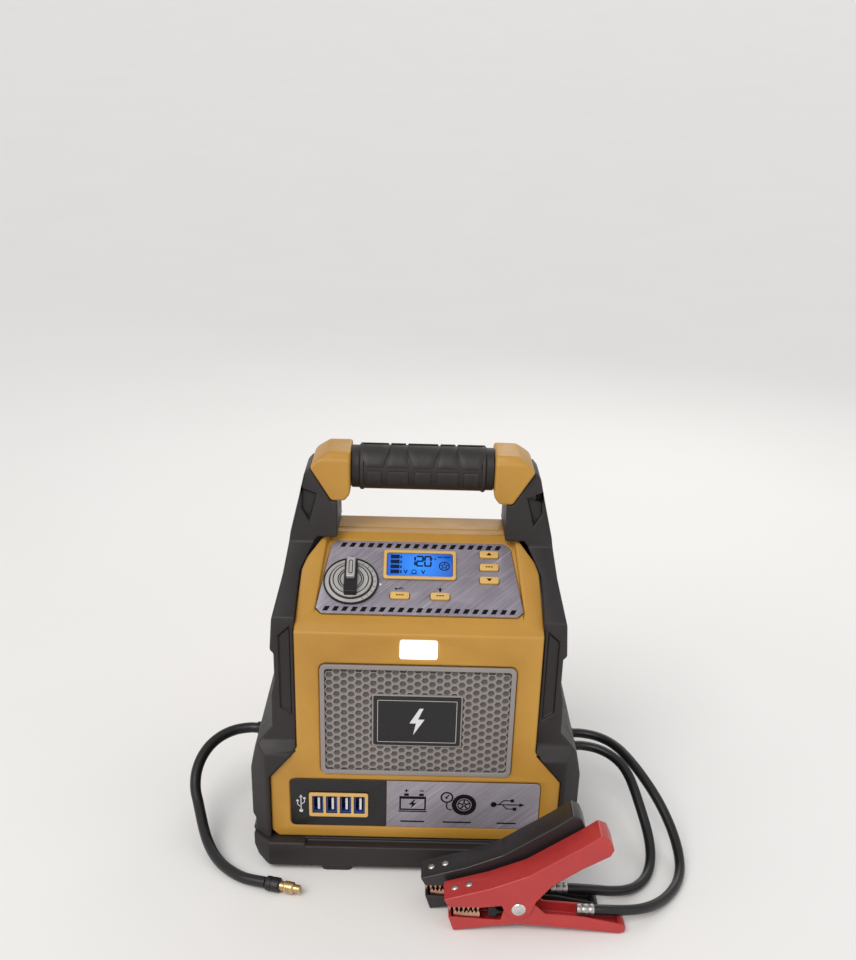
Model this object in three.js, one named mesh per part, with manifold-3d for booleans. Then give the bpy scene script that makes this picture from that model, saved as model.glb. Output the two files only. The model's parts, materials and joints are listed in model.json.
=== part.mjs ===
// Portable jump starter pack: a battery and air compressor in a two-shell housing with side
// guards, a bar handle, a sloping control panel, an air hose and two jumper cables with clamps.
// Millimetres, +Z up, the front faces -Y, origin on the floor under the middle of the pack.

import * as THREE from 'three';
import { mergeVertices } from 'three/addons/utils/BufferGeometryUtils.js';
import Module from 'manifold-3d';

const wasm = await Module();
wasm.setup();

// ---------- driving dimensions ----------

// overall
const HALF_WIDTH = 142;        // middle to the outside of a side guard
const HALF_DEPTH = 106;        // middle to the front or back of the base
const BEND_Z = 226;            // height where the front face turns into the slope
const BODY_HALF_DEPTH = 95;    // middle to the front face of the housing
const SLOPE_ANGLE = THREE.MathUtils.degToRad(33);
const SLOPE_LENGTH = 102;

// clearances
const GAP = 0.3;               // between fitted faces
const SLIDE_GAP = 0.4;         // around a button or the knob's spindle
const OVERCUT = 5;             // how far a cutter runs past the face it cuts

// housing shells
const WALL = 3.5;
const SPLIT_Y = 2;             // plane where the two shells meet
const GUARD_WIDTH = 17.6;      // side guard thickness beside the wide part of the housing
const NECK_INSET = 23.4;       // how much narrower the housing is above its wide part
const FLARE_LOW_Z = 91;
const FLARE_HIGH_Z = 118.5;
const BOTTOM_CORNER = 6;
const TOP_CHAMFER_WIDTH = 13;
const TOP_CHAMFER_HEIGHT = 20;
const SIDE_TAPER = 2;
const TOP_REAR_Y = 32;
const REAR_SHOULDER_Y = 84;
const REAR_SHOULDER_DROP = 36;
const CHEEK_HEIGHT = 6;
const CHEEK_TOP_WIDTH = 10;
const CHEEK_BOTTOM_WIDTH = 13;
const CHEEK_START = 10;

// base and feet
const FOOT_HEIGHT = 5;
const FOOT_WIDTH = 27;
const FOOT_DEPTH = 24;
const FOOT_X = 67.5;
const FOOT_INSET = 2;
const BASE_TOP = 29;
const BASE_CORNER = 16;
const BASE_ROUND = 12;
const BASE_WALL = 6;
const BASE_FLOOR = 8;
const BASE_CENTRE_DROP = 3;

// side guards
const GUARD_FRONT_STEP = 4;    // how far the guard stands out past the housing's front face
const GUARD_SETBACK = 5;       // how far its upper part stands back from the front face
const GUARD_PROUD = 6;         // how far it stands above the slope
const GUARD_PLAN_CHAMFER = 14;
const ARM_INNER_X = 70;
const ARM_HALF_DEPTH = 23;
const POCKET_DEPTH = 2;
const CORD_HOLE_RADIUS = 10;

// handle
const HANDLE_Y = 3;
const HANDLE_RISE = 53.45;     // from the housing's top to the handle's axis
const GRIP_RADIUS = 19.5;
const GRIP_HALF = 52;
const COLLAR_RADIUS = 17.5;
const COLLAR_LENGTH = 7;
const CORE_RADIUS = 9;
const CORE_HALF = 76;
const END_LENGTH = 33;
const END_HALF_DEPTH = 26;
const END_DROP = 3;            // how far its lower corners reach below the grip
const END_FOOT = 11;           // width of its lower edge
const END_CHAMFER = 6;

// control panel: x across, s up the slope from the bend, n out of the slope
const PANEL_START = 19;
const PANEL_END = 92;
const PANEL_SIDE_MARGIN = 16.4;
const PANEL_TAPER = 9.6;
const PANEL_CORNER = 5;
const PANEL_THICKNESS = 2;
const PANEL_RECESS = 1.5;
const PANEL_LEDGE = 6;
const KNOB_MARGIN = 27.6;
const KNOB_S = 50;
const DIAL_RADIUS = 22.8;
const KNOB_RADIUS = 17;
const DIAL_HEIGHT = 3;
const KNOB_DISC_HEIGHT = 4;
const KNOB_BAR_HEIGHT = 13;
const KNOB_BAR_WIDTH = 9;
const SPINDLE_RADIUS = 4;
const SWITCH_SIZE = 36;
const SWITCH_DEPTH = 22;
const SWITCH_TOP = 8;
const LCD_KNOB_SPACE = 3.5;
const LCD_BUTTON_SPACE = 27.5;
const LCD_LOW = 53;
const LCD_HIGH = 82;
const LCD_RIM = 3;
const LCD_RIM_HEIGHT = 2.2;
const LCD_THICKNESS = 4;
const BUTTON_WIDTH = 15.7;
const BUTTON_HEIGHT = 6.6;
const BUTTON_PROUD = 1.8;
const BUTTON_DEPTH = 3;
const BUTTON_ROWS = [54, 67, 80];
const LOW_BUTTON_S = 37;
const LOW_BUTTON_X = 16.5;
const BOARD_THICKNESS = 1.6;
const BOARD_BELOW = 5.5;
const BOARD_LOW = 30;
const BOARD_HIGH = 85;

// front face
const GRILLE_LOW = 95;
const GRILLE_BELOW_BEND = 27.5;
const GRILLE_MARGIN = 20.4;
const GRILLE_CORNER = 5;
const GRILLE_THICKNESS = 3;
const FACE_RECESS = 1.5;
const BADGE_WIDTH = 72;
const BADGE_HEIGHT = 45.7;
const BADGE_ABOVE_MIDDLE = 1.25;
const BADGE_THICKNESS = 1.6;
const BADGE_RECESS = 1;
const LED_WIDTH = 31;
const LED_HEIGHT = 16.4;
const LED_BELOW_BEND = 13.2;
const LENS_THICKNESS = 5;
const STRIP_LOW = 41.5;
const STRIP_HIGH = 88;
const STRIP_MARGIN = 17;
const STRIP_CORNER = 4;
const STRIP_THICKNESS = 1.5;
const STRIP_DIVIDER_X = -24.7;
const USB_MARGIN = 16;
const USB_FRAME_WIDTH = 51;
const USB_FRAME_HEIGHT = 24;
const USB_Z = 63.5;
const USB_FRAME_PROUD = 1.6;
const PORT_COUNT = 4;
const PORT_PITCH = 12;
const PORT_WIDTH = 6.6;
const PORT_HEIGHT = 14.6;
const PORT_DEPTH = 11;
const MODULE_HALF_EDGE = 2;
const MODULE_BACK = 5;

// inside
const BATTERY_BELOW_BEND = 25.9;
const BATTERY_SIDE_SPACE = 5;  // from the chassis plate's edge in to the battery's side
const BATTERY_REAR_SPACE = 2.4; // from the battery to the charging inlet
const CHASSIS_THICKNESS = 3;
const MOTOR_RADIUS = 18;
const MOTOR_LENGTH = 64;
const CYLINDER_RADIUS = 15;
const BARREL_RADIUS = 11;
const FIN_RADIUS = 14;
const FIN_THICKNESS = 2;
const FIN_PITCH = 6;
const FIN_COUNT = 3;
const COMPRESSOR_BELOW_BEND = 96;

// charging inlet
const INLET_X = 52;
const INLET_Z = 62;
const INLET_WIDTH = 20;
const INLET_HEIGHT = 16;
const INLET_DEPTH = 13;
const INLET_BORE = 4.2;
const CAP_THICKNESS = 3;
const CAP_RIM = 3;

// cable cleats on the back
const CLEAT_X = 58;
const CLEAT_BELOW_BEND = 40;
const CLEAT_NECK = 14;
const CLEAT_FLANGE = 26;
const CLEAT_FLANGE_THICKNESS = 4;

// glands and cords
const CABLE_DIAMETER = 9;
const HOSE_DIAMETER = 10;
const GLAND_LENGTH = 26;
const GLAND_RADIUS = 8.5;
const GLAND_NECK = 6.6;
const GLAND_FLANGE = 3;
const CABLE_Z = 64;
const NEGATIVE_Y = 14;
const POSITIVE_Y = 38;
const HOSE_Z = 71;
const HOSE_Y = 22;
const CORD_STEP = 15;         // length of one straight stretch of a cord's tube
const CORD_SIDES = 10;

// clamps
const CLAMP_HALF_WIDTH = 12.5;
const CLAMP_SHEET = 2.1;
const PIN_RADIUS = 4;
const PIN_HEAD = 6;
const JAW_TEETH = 7;

// ---------- sizes worked out from the driving dimensions ----------

const WIDE_HALF = HALF_WIDTH - GUARD_WIDTH;
const NECK_HALF = WIDE_HALF - NECK_INSET;
const SLOPE_RUN = SLOPE_LENGTH * Math.cos(SLOPE_ANGLE);
const SLOPE_RISE = SLOPE_LENGTH * Math.sin(SLOPE_ANGLE);
const TOP_Z = BEND_Z + SLOPE_RISE;
const FRONT_Y = -BODY_HALF_DEPTH;
const TOP_FRONT_Y = FRONT_Y + SLOPE_RUN;
const HOUSING_BOTTOM = BASE_TOP + GAP;
const HANDLE_Z = TOP_Z + HANDLE_RISE;
const GRILLE_HIGH = BEND_Z - GRILLE_BELOW_BEND;
const BADGE_Z = (GRILLE_LOW + GRILLE_HIGH) / 2 + BADGE_ABOVE_MIDDLE;
const LED_Z = BEND_Z - LED_BELOW_BEND;
const BATTERY_TOP = BEND_Z - BATTERY_BELOW_BEND;
const COMPRESSOR_Z = BEND_Z - COMPRESSOR_BELOW_BEND;
const CLEAT_Z = BEND_Z - CLEAT_BELOW_BEND;
const HANDLE_BASE_Z = HANDLE_Z - GRIP_RADIUS;
const GRIP_END_X = GRIP_HALF + COLLAR_LENGTH;
const END_OUTER_X = GRIP_END_X + GAP + END_LENGTH;
const PANEL_HALF = NECK_HALF - PANEL_SIDE_MARGIN;
const KNOB_X = -(PANEL_HALF - KNOB_MARGIN);
const BUTTON_X = PANEL_HALF - KNOB_MARGIN;

// ---------- solids ----------

/** A manifold solid from a closed three.js geometry. */
function solid(geometry) {
  const bare = geometry.clone();
  bare.deleteAttribute('normal');
  bare.deleteAttribute('uv');
  const merged = mergeVertices(bare, 1e-4);
  return new wasm.Manifold(new wasm.Mesh({
    numProp: 3,
    vertProperties: new Float32Array(merged.attributes.position.array),
    triVerts: new Uint32Array(merged.index.array),
  }));
}

/** A three.js geometry from a manifold solid. */
function geometryOf(body) {
  const mesh = body.getMesh();
  const geometry = new THREE.BufferGeometry();
  geometry.setAttribute('position', new THREE.BufferAttribute(mesh.vertProperties, 3));
  geometry.setIndex(new THREE.BufferAttribute(mesh.triVerts, 1));
  return geometry;
}

/** A solid moved by a three.js matrix. */
function moved(body, matrix) {
  return body.transform(matrix.toArray());
}

/** The solid mirrored to the other side of the pack. */
function mirrored(body) {
  return body.mirror([1, 0, 0]);
}

/** A box between two corners. */
function block(low, high) {
  const size = high.map((value, axis) => value - low[axis]);
  const geometry = new THREE.BoxGeometry(...size);
  geometry.translate(...low.map((value, axis) => value + size[axis] / 2));
  return solid(geometry);
}

/** An outline extruded along its own normal, from z = low to z = high. */
function extruded(points, low, high) {
  const shape = new THREE.Shape(points.map(([x, y]) => new THREE.Vector2(x, y)));
  const geometry = new THREE.ExtrudeGeometry(shape, { depth: high - low, bevelEnabled: false });
  geometry.translate(0, 0, low);
  return solid(geometry);
}

/** An outline in x and z, extruded along y. */
function alongY(points, low, high) {
  return moved(extruded(points, -high, -low), new THREE.Matrix4().makeRotationX(Math.PI / 2));
}

/** An outline in y and z, extruded along x. */
function alongX(points, low, high) {
  const turn = new THREE.Matrix4().makeBasis(
    new THREE.Vector3(0, 1, 0), new THREE.Vector3(0, 0, 1), new THREE.Vector3(1, 0, 0));
  return moved(extruded(points, low, high), turn);
}

/** A turned solid: the profile's points are [radius, height], its axis is z. */
function turned(profile, segments) {
  const points = profile.map(([radius, height]) => new THREE.Vector2(radius, height));
  const geometry = new THREE.LatheGeometry(points, segments);
  geometry.rotateX(Math.PI / 2);
  return solid(geometry);
}

/** A matrix that moves to a point after turning by three angles. */
function placed(position, angles = [0, 0, 0]) {
  const turn = new THREE.Quaternion().setFromEuler(new THREE.Euler(...angles));
  return new THREE.Matrix4().compose(
    new THREE.Vector3(...position), turn, new THREE.Vector3(1, 1, 1));
}

/** A turned solid whose axis lies along x or y. */
function turnedAlong(axis, profile, segments, position) {
  const angles = axis === 'x' ? [0, Math.PI / 2, 0] : [-Math.PI / 2, 0, 0];
  return moved(turned(profile, segments), placed(position, angles));
}

/** The profile of a plain cylinder between two heights. */
function rod(radius, low, high) {
  return [[0, low], [radius, low], [radius, high], [0, high]];
}

/** A rectangle with round corners, as points. */
function roundedRectangle(left, low, right, high, radius, steps = 3) {
  const corners = [
    [right - radius, low + radius, -90], [right - radius, high - radius, 0],
    [left + radius, high - radius, 90], [left + radius, low + radius, 180],
  ];
  return corners.flatMap(([x, y, start]) => Array.from({ length: steps + 1 }, (_, i) => {
    const angle = THREE.MathUtils.degToRad(start + (90 * i) / steps);
    return [x + radius * Math.cos(angle), y + radius * Math.sin(angle)];
  }));
}

/** A counter-clockwise outline with every side moved outwards by a distance. */
function grown(points, distance) {
  return points.map((point, i) => {
    const before = points[(i + points.length - 1) % points.length];
    const after = points[(i + 1) % points.length];
    const sides = [[before, point], [point, after]].map(([a, b]) => {
      const length = Math.hypot(b[0] - a[0], b[1] - a[1]);
      return [(b[1] - a[1]) / length, -(b[0] - a[0]) / length];
    });
    const [first, second] = sides;
    const scale = distance / (1 + first[0] * second[0] + first[1] * second[1]);
    return [point[0] + (first[0] + second[0]) * scale, point[1] + (first[1] + second[1]) * scale];
  });
}

/** Points mirrored in x, in the order that keeps the outline counter-clockwise. */
function mirroredPoints(points) {
  return points.map(([x, y]) => [-x, y]).reverse();
}

// ---------- materials ----------

const finish = (color, roughness, metalness = 0) =>
  new THREE.MeshStandardMaterial({ color, roughness, metalness });

const YELLOW = finish(0xc8943a, 0.45);
const BLACK = finish(0x2c2a2b, 0.6);
const RUBBER = finish(0x222122, 0.85);
const BRUSHED = finish(0x8f8b93, 0.4, 0.6);
const CREAM = finish(0xe0b862, 0.5);
const SILVER = finish(0xb9b7b4, 0.35, 0.8);
const BLUE = finish(0x1f6fd0, 0.2);
const WHITE = finish(0xf4f2ee, 0.3);
const GREEN = finish(0x1d5a35, 0.5);
const GREY = finish(0x7c7a7c, 0.5, 0.3);
const RED = finish(0xb43a38, 0.5);
const COPPER = finish(0xa8694a, 0.4, 0.9);
const BRASS = finish(0xb08a50, 0.35, 0.9);

const group = new THREE.Group();

/** Adds one named sub-part to a group. */
function add(name, body, material, parent = group) {
  const mesh = new THREE.Mesh(geometryOf(body), material);
  mesh.name = name;
  parent.add(mesh);
}

// ---------- housing ----------

/** Half of the housing's front view, from the bottom middle round to the top middle. */
function housingHalf() {
  return [
    [WIDE_HALF - BOTTOM_CORNER, HOUSING_BOTTOM], [WIDE_HALF, HOUSING_BOTTOM + BOTTOM_CORNER],
    [WIDE_HALF, FLARE_LOW_Z], [NECK_HALF, FLARE_HIGH_Z], [NECK_HALF, BEND_Z],
    [NECK_HALF - SIDE_TAPER, TOP_Z - TOP_CHAMFER_HEIGHT],
    [NECK_HALF - SIDE_TAPER - TOP_CHAMFER_WIDTH, TOP_Z + GAP],
  ];
}

const FRONT_VIEW = [...housingHalf(), ...mirroredPoints(housingHalf())];

const SIDE_VIEW = [
  [FRONT_Y, HOUSING_BOTTOM], [BODY_HALF_DEPTH, HOUSING_BOTTOM],
  [BODY_HALF_DEPTH, BEND_Z], [REAR_SHOULDER_Y, TOP_Z - REAR_SHOULDER_DROP],
  [TOP_REAR_Y, TOP_Z], [TOP_FRONT_Y, TOP_Z], [FRONT_Y, BEND_Z],
];

// the slope's own frame: x across, y up the slope, z out of it
const SLOPE = placed([0, FRONT_Y, BEND_Z], [SLOPE_ANGLE, 0, 0]);

/** The wedge beside the control panel that rises towards the top of the slope. */
function cheek(grow) {
  const run = SLOPE_LENGTH + CHEEK_HEIGHT;
  const wedge = alongX(grown([
    [CHEEK_START, -WALL], [run, -WALL], [run, CHEEK_HEIGHT], [CHEEK_START, 0],
  ], grow), 0, HALF_WIDTH);
  const outer = NECK_HALF - SIDE_TAPER;
  const plan = extruded(grown([
    [outer - CHEEK_BOTTOM_WIDTH, CHEEK_START - 1], [outer + OVERCUT, CHEEK_START - 1],
    [outer + OVERCUT, run + 1],
    [outer - TOP_CHAMFER_WIDTH - CHEEK_TOP_WIDTH + 1, run + 1],
  ], grow), -HALF_WIDTH, HALF_WIDTH);
  return moved(wedge.intersect(plan), SLOPE);
}

/** The housing's outer form, with all its faces moved out by a distance. */
function housingForm(grow, cheeks = true) {
  const front = alongY(grown(FRONT_VIEW, grow), -HALF_DEPTH, HALF_DEPTH);
  const tall = FRONT_VIEW.map(([x, z]) => [x, z > TOP_Z ? z + CHEEK_HEIGHT : z]);
  const side = alongX(grown(SIDE_VIEW, grow), -HALF_WIDTH, HALF_WIDTH);
  const form = front.intersect(side);
  if (!cheeks) return form;
  const limit = alongY(grown(tall, grow), -HALF_DEPTH, TOP_REAR_Y);
  const right = cheek(grow).intersect(limit);
  return form.add(right).add(mirrored(right));
}

const housingShell = housingForm(0).subtract(housingForm(-WALL, false));

/** The part of a solid in front of or behind a plane across y. */
function cutAcross(body, low, high) {
  return body.intersect(block(
    [-2 * HALF_WIDTH, low, -OVERCUT], [2 * HALF_WIDTH, high, 2 * HANDLE_Z]));
}

// outlines on the front face, each used for a plate and for the recess that holds it
const GRILLE_HALF = NECK_HALF - GRILLE_MARGIN;
const STRIP_HALF = WIDE_HALF - STRIP_MARGIN;
const grilleOutline = roundedRectangle(
  -GRILLE_HALF, GRILLE_LOW, GRILLE_HALF, GRILLE_HIGH, GRILLE_CORNER);
const badgeOutline = roundedRectangle(
  -BADGE_WIDTH / 2, BADGE_Z - BADGE_HEIGHT / 2, BADGE_WIDTH / 2, BADGE_Z + BADGE_HEIGHT / 2, 1, 1);
const stripOutline = roundedRectangle(
  -STRIP_HALF, STRIP_LOW, STRIP_HALF, STRIP_HIGH, STRIP_CORNER);
const ledOutline = roundedRectangle(
  -LED_WIDTH / 2, LED_Z - LED_HEIGHT / 2, LED_WIDTH / 2, LED_Z + LED_HEIGHT / 2, 2, 2);
const USB_X = -STRIP_HALF + USB_MARGIN + USB_FRAME_WIDTH / 2;
const usbOutline = roundedRectangle(
  USB_X - USB_FRAME_WIDTH / 2, USB_Z - USB_FRAME_HEIGHT / 2,
  USB_X + USB_FRAME_WIDTH / 2, USB_Z + USB_FRAME_HEIGHT / 2, 2.5, 2);

// outlines on the slope
const panelOutline = [
  [-PANEL_HALF + PANEL_CORNER, PANEL_START], [PANEL_HALF - PANEL_CORNER, PANEL_START],
  [PANEL_HALF, PANEL_START + PANEL_CORNER],
  [PANEL_HALF - PANEL_TAPER, PANEL_END - PANEL_CORNER],
  [PANEL_HALF - PANEL_TAPER - PANEL_CORNER, PANEL_END],
  [-PANEL_HALF + PANEL_TAPER + PANEL_CORNER, PANEL_END],
  [-PANEL_HALF + PANEL_TAPER, PANEL_END - PANEL_CORNER],
  [-PANEL_HALF, PANEL_START + PANEL_CORNER],
];
const LCD_LEFT = KNOB_X + DIAL_RADIUS + LCD_KNOB_SPACE;
const LCD_RIGHT = BUTTON_X - LCD_BUTTON_SPACE;
const lcdOutline = roundedRectangle(LCD_LEFT, LCD_LOW, LCD_RIGHT, LCD_HIGH, 2, 2);
const windowOutline = roundedRectangle(
  LCD_LEFT + LCD_RIM, LCD_LOW + LCD_RIM, LCD_RIGHT - LCD_RIM, LCD_HIGH - LCD_RIM, 1, 1);

const buttonPlaces = [
  ['down_button', BUTTON_X, BUTTON_ROWS[0]], ['air_button', BUTTON_X, BUTTON_ROWS[1]],
  ['up_button', BUTTON_X, BUTTON_ROWS[2]], ['usb_button', -LOW_BUTTON_X, LOW_BUTTON_S],
  ['light_button', LOW_BUTTON_X, LOW_BUTTON_S],
];

/** A button's outline, round ended, about its own middle. */
function buttonOutline(x, s) {
  return roundedRectangle(
    x - BUTTON_WIDTH / 2, s - BUTTON_HEIGHT / 2,
    x + BUTTON_WIDTH / 2, s + BUTTON_HEIGHT / 2, 1.6, 2);
}

/** Cuts a recess of an outline into the front face. */
function faceRecess(outline, depth) {
  return alongY(grown(outline, GAP), FRONT_Y - OVERCUT, FRONT_Y + depth);
}

const frontCuts = [
  faceRecess(grilleOutline, FACE_RECESS),
  faceRecess(stripOutline, FACE_RECESS),
  faceRecess(ledOutline, WALL + OVERCUT),
  faceRecess(grown(usbOutline, -MODULE_HALF_EDGE), WALL + OVERCUT),
  moved(extruded(grown(panelOutline, GAP), -PANEL_RECESS, OVERCUT), SLOPE),
  moved(extruded(grown(panelOutline, -PANEL_LEDGE), -WALL - OVERCUT, OVERCUT), SLOPE),
];
const frontHousing = frontCuts.reduce(
  (body, cut) => body.subtract(cut), cutAcross(housingShell, -HALF_DEPTH, SPLIT_Y));
add('front_housing', frontHousing, YELLOW);

/** A post with a wide end, which the cables are wound round. */
function cleat(side) {
  const reach = HALF_DEPTH - BODY_HALF_DEPTH;
  const neck = roundedRectangle(
    side * CLEAT_X - CLEAT_NECK / 2, CLEAT_Z - CLEAT_NECK / 2,
    side * CLEAT_X + CLEAT_NECK / 2, CLEAT_Z + CLEAT_NECK / 2, 3, 2);
  const flange = grown(neck, (CLEAT_FLANGE - CLEAT_NECK) / 2);
  const end = BODY_HALF_DEPTH + reach;
  return alongY(neck, BODY_HALF_DEPTH - WALL / 2, end - 1).add(
    alongY(flange, end - CLEAT_FLANGE_THICKNESS, end));
}

const inletOutline = roundedRectangle(
  INLET_X - INLET_WIDTH / 2, INLET_Z - INLET_HEIGHT / 2,
  INLET_X + INLET_WIDTH / 2, INLET_Z + INLET_HEIGHT / 2, 3, 2);

/** A round hole through the side wall for a gland. */
function glandHole(side, y, z, radius) {
  return turnedAlong('x', rod(radius, -OVERCUT, GUARD_WIDTH + WALL + 2 * OVERCUT), 16,
    [side > 0 ? WIDE_HALF - WALL : -HALF_WIDTH - 2 * OVERCUT, y, z]);
}

const glandPlaces = [
  ['negative_gland', 1, NEGATIVE_Y, CABLE_Z, CABLE_DIAMETER],
  ['positive_gland', 1, POSITIVE_Y, CABLE_Z, CABLE_DIAMETER],
  ['hose_gland', -1, HOSE_Y, HOSE_Z, HOSE_DIAMETER],
];

const rearCuts = [
  alongY(grown(inletOutline, GAP), BODY_HALF_DEPTH - WALL - OVERCUT, HALF_DEPTH),
  ...glandPlaces.map(([, side, y, z]) => glandHole(side, y, z, GLAND_NECK + GAP)),
];
const rearHousing = rearCuts.reduce(
  (body, cut) => body.subtract(cut), cutAcross(housingShell, SPLIT_Y + GAP, HALF_DEPTH));
add('rear_housing', rearHousing.add(cleat(1)).add(cleat(-1)), YELLOW);

// ---------- handle ----------

/** The yellow end block of the handle, on the right. */
function handleEnd(grow) {
  const front = alongY(grown([
    [GRIP_END_X + GAP, HANDLE_BASE_Z + END_DROP], [GRIP_END_X + 5, HANDLE_BASE_Z - END_DROP],
    [GRIP_END_X + 5 + END_FOOT, HANDLE_BASE_Z - END_DROP], [END_OUTER_X, HANDLE_Z + 5], [END_OUTER_X - 3, HANDLE_Z + 9],
    [END_OUTER_X - 14, HANDLE_Z + GRIP_RADIUS - 2],
    [GRIP_END_X + GAP, HANDLE_Z + GRIP_RADIUS - 2],
  ], grow), -HALF_DEPTH, HALF_DEPTH);
  const low = HANDLE_BASE_Z - 2 * END_CHAMFER;
  const high = HANDLE_Z + GRIP_RADIUS - 2;
  const side = alongX(grown([
    [HANDLE_Y - END_HALF_DEPTH, low], [HANDLE_Y + END_HALF_DEPTH, low],
    [HANDLE_Y + END_HALF_DEPTH, high - END_CHAMFER],
    [HANDLE_Y + END_HALF_DEPTH - END_CHAMFER, high],
    [HANDLE_Y - END_HALF_DEPTH + END_CHAMFER, high],
    [HANDLE_Y - END_HALF_DEPTH, high - END_CHAMFER],
  ], grow), 0, HALF_WIDTH);
  return front.intersect(side);
}

const coreBore = turnedAlong(
  'x', rod(CORE_RADIUS + GAP, -CORE_HALF - GAP, CORE_HALF + GAP), 16, [0, HANDLE_Y, HANDLE_Z]);
const rightEnd = handleEnd(0).subtract(coreBore);
add('handle_right_end', rightEnd, YELLOW);
add('handle_left_end', mirrored(rightEnd), YELLOW);

const gripProfile = [
  [CORE_RADIUS + GAP, -GRIP_END_X], [COLLAR_RADIUS, -GRIP_END_X], [COLLAR_RADIUS, -GRIP_HALF],
  [GRIP_RADIUS, -GRIP_HALF], [GRIP_RADIUS, GRIP_HALF], [COLLAR_RADIUS, GRIP_HALF],
  [COLLAR_RADIUS, GRIP_END_X], [CORE_RADIUS + GAP, GRIP_END_X], [CORE_RADIUS + GAP, -GRIP_END_X],
];
add('handle_grip', turnedAlong('x', gripProfile, 20, [0, HANDLE_Y, HANDLE_Z]), RUBBER);
add('handle_core', turnedAlong(
  'x', rod(CORE_RADIUS, -CORE_HALF, CORE_HALF), 16, [0, HANDLE_Y, HANDLE_Z]), GREY);

// ---------- side guards ----------

// how far out the guard stands at each height, from the arm's top down to the base
const ARM_TOP_X = END_OUTER_X;
const guardOuter = [
  [HALF_WIDTH, HOUSING_BOTTOM], [HALF_WIDTH - 1, 33], [HALF_WIDTH - 3, 35],
  [HALF_WIDTH - 3, 42], [HALF_WIDTH, 46], [HALF_WIDTH, FLARE_LOW_Z + 1],
  [WIDE_HALF + 15, FLARE_LOW_Z + 14], [WIDE_HALF + 12, FLARE_HIGH_Z],
  [NECK_HALF + 21, FLARE_HIGH_Z + 17], [NECK_HALF + 20.5, BEND_Z - 61],
  [NECK_HALF + 17.5, BEND_Z - 46],
  [NECK_HALF + 17.5, BEND_Z - 22], [NECK_HALF + 20.5, BEND_Z - 19],
  [NECK_HALF + 18.5, BEND_Z + 8], [NECK_HALF + 12, TOP_Z - 22], [NECK_HALF + 8, TOP_Z + 4],
  [ARM_TOP_X + 9, HANDLE_BASE_Z + 1], [ARM_TOP_X + 5, HANDLE_Z - 1],
  [ARM_TOP_X, HANDLE_Z + 5],
];
const guardInner = [
  [ARM_INNER_X, HANDLE_Z + 5], [ARM_INNER_X, TOP_Z + GAP],
  [NECK_HALF - SIDE_TAPER - TOP_CHAMFER_WIDTH + GAP, TOP_Z + GAP],
  [NECK_HALF - SIDE_TAPER + GAP, TOP_Z - TOP_CHAMFER_HEIGHT], [NECK_HALF + GAP, BEND_Z],
  [NECK_HALF + GAP, FLARE_HIGH_Z], [WIDE_HALF + GAP, FLARE_LOW_Z],
  [WIDE_HALF + GAP, HOUSING_BOTTOM],
];

// the guard from the side: it follows the slope and narrows into the handle's arm
const slopeNormal = [-Math.sin(SLOPE_ANGLE) * GUARD_PROUD, Math.cos(SLOPE_ANGLE) * GUARD_PROUD];
const ARM_FRONT_Y = HANDLE_Y - ARM_HALF_DEPTH;
const ARM_REAR_Y = HANDLE_Y + ARM_HALF_DEPTH;
const slopeTangent = Math.tan(SLOPE_ANGLE);
const onSlope = (y) => BEND_Z + slopeNormal[1] + (y - FRONT_Y - slopeNormal[0]) * slopeTangent;
const UPPER_FRONT_Y = FRONT_Y + GUARD_SETBACK;
const guardSide = [
  [FRONT_Y - GUARD_FRONT_STEP, HOUSING_BOTTOM],
  [BODY_HALF_DEPTH + GUARD_FRONT_STEP, HOUSING_BOTTOM],
  [BODY_HALF_DEPTH + GUARD_FRONT_STEP, FLARE_HIGH_Z - 6],
  [-UPPER_FRONT_Y, FLARE_HIGH_Z + 6], [-UPPER_FRONT_Y, BEND_Z - 4],
  [REAR_SHOULDER_Y - 2, BEND_Z + 14], [ARM_REAR_Y + 8, TOP_Z + 6],
  [ARM_REAR_Y + 2, HANDLE_BASE_Z], [ARM_REAR_Y - 2, HANDLE_Z + 5],
  [ARM_FRONT_Y + 2, HANDLE_Z + 5], [ARM_FRONT_Y - 2, HANDLE_BASE_Z],
  [ARM_FRONT_Y - 6, onSlope(ARM_FRONT_Y - 6)], [UPPER_FRONT_Y, onSlope(UPPER_FRONT_Y)],
  [UPPER_FRONT_Y, FLARE_HIGH_Z + 6], [FRONT_Y - GUARD_FRONT_STEP, FLARE_HIGH_Z - 6],
];

/** The plan outline of the pack with chamfered corners. */
function planOutline(halfDepth, chamfer) {
  const inner = HALF_WIDTH - chamfer;
  return [
    [-inner, -halfDepth], [inner, -halfDepth], [HALF_WIDTH, -halfDepth + chamfer],
    [HALF_WIDTH, halfDepth - chamfer], [inner, halfDepth], [-inner, halfDepth],
    [-HALF_WIDTH, halfDepth - chamfer], [-HALF_WIDTH, -halfDepth + chamfer],
  ];
}

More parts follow.
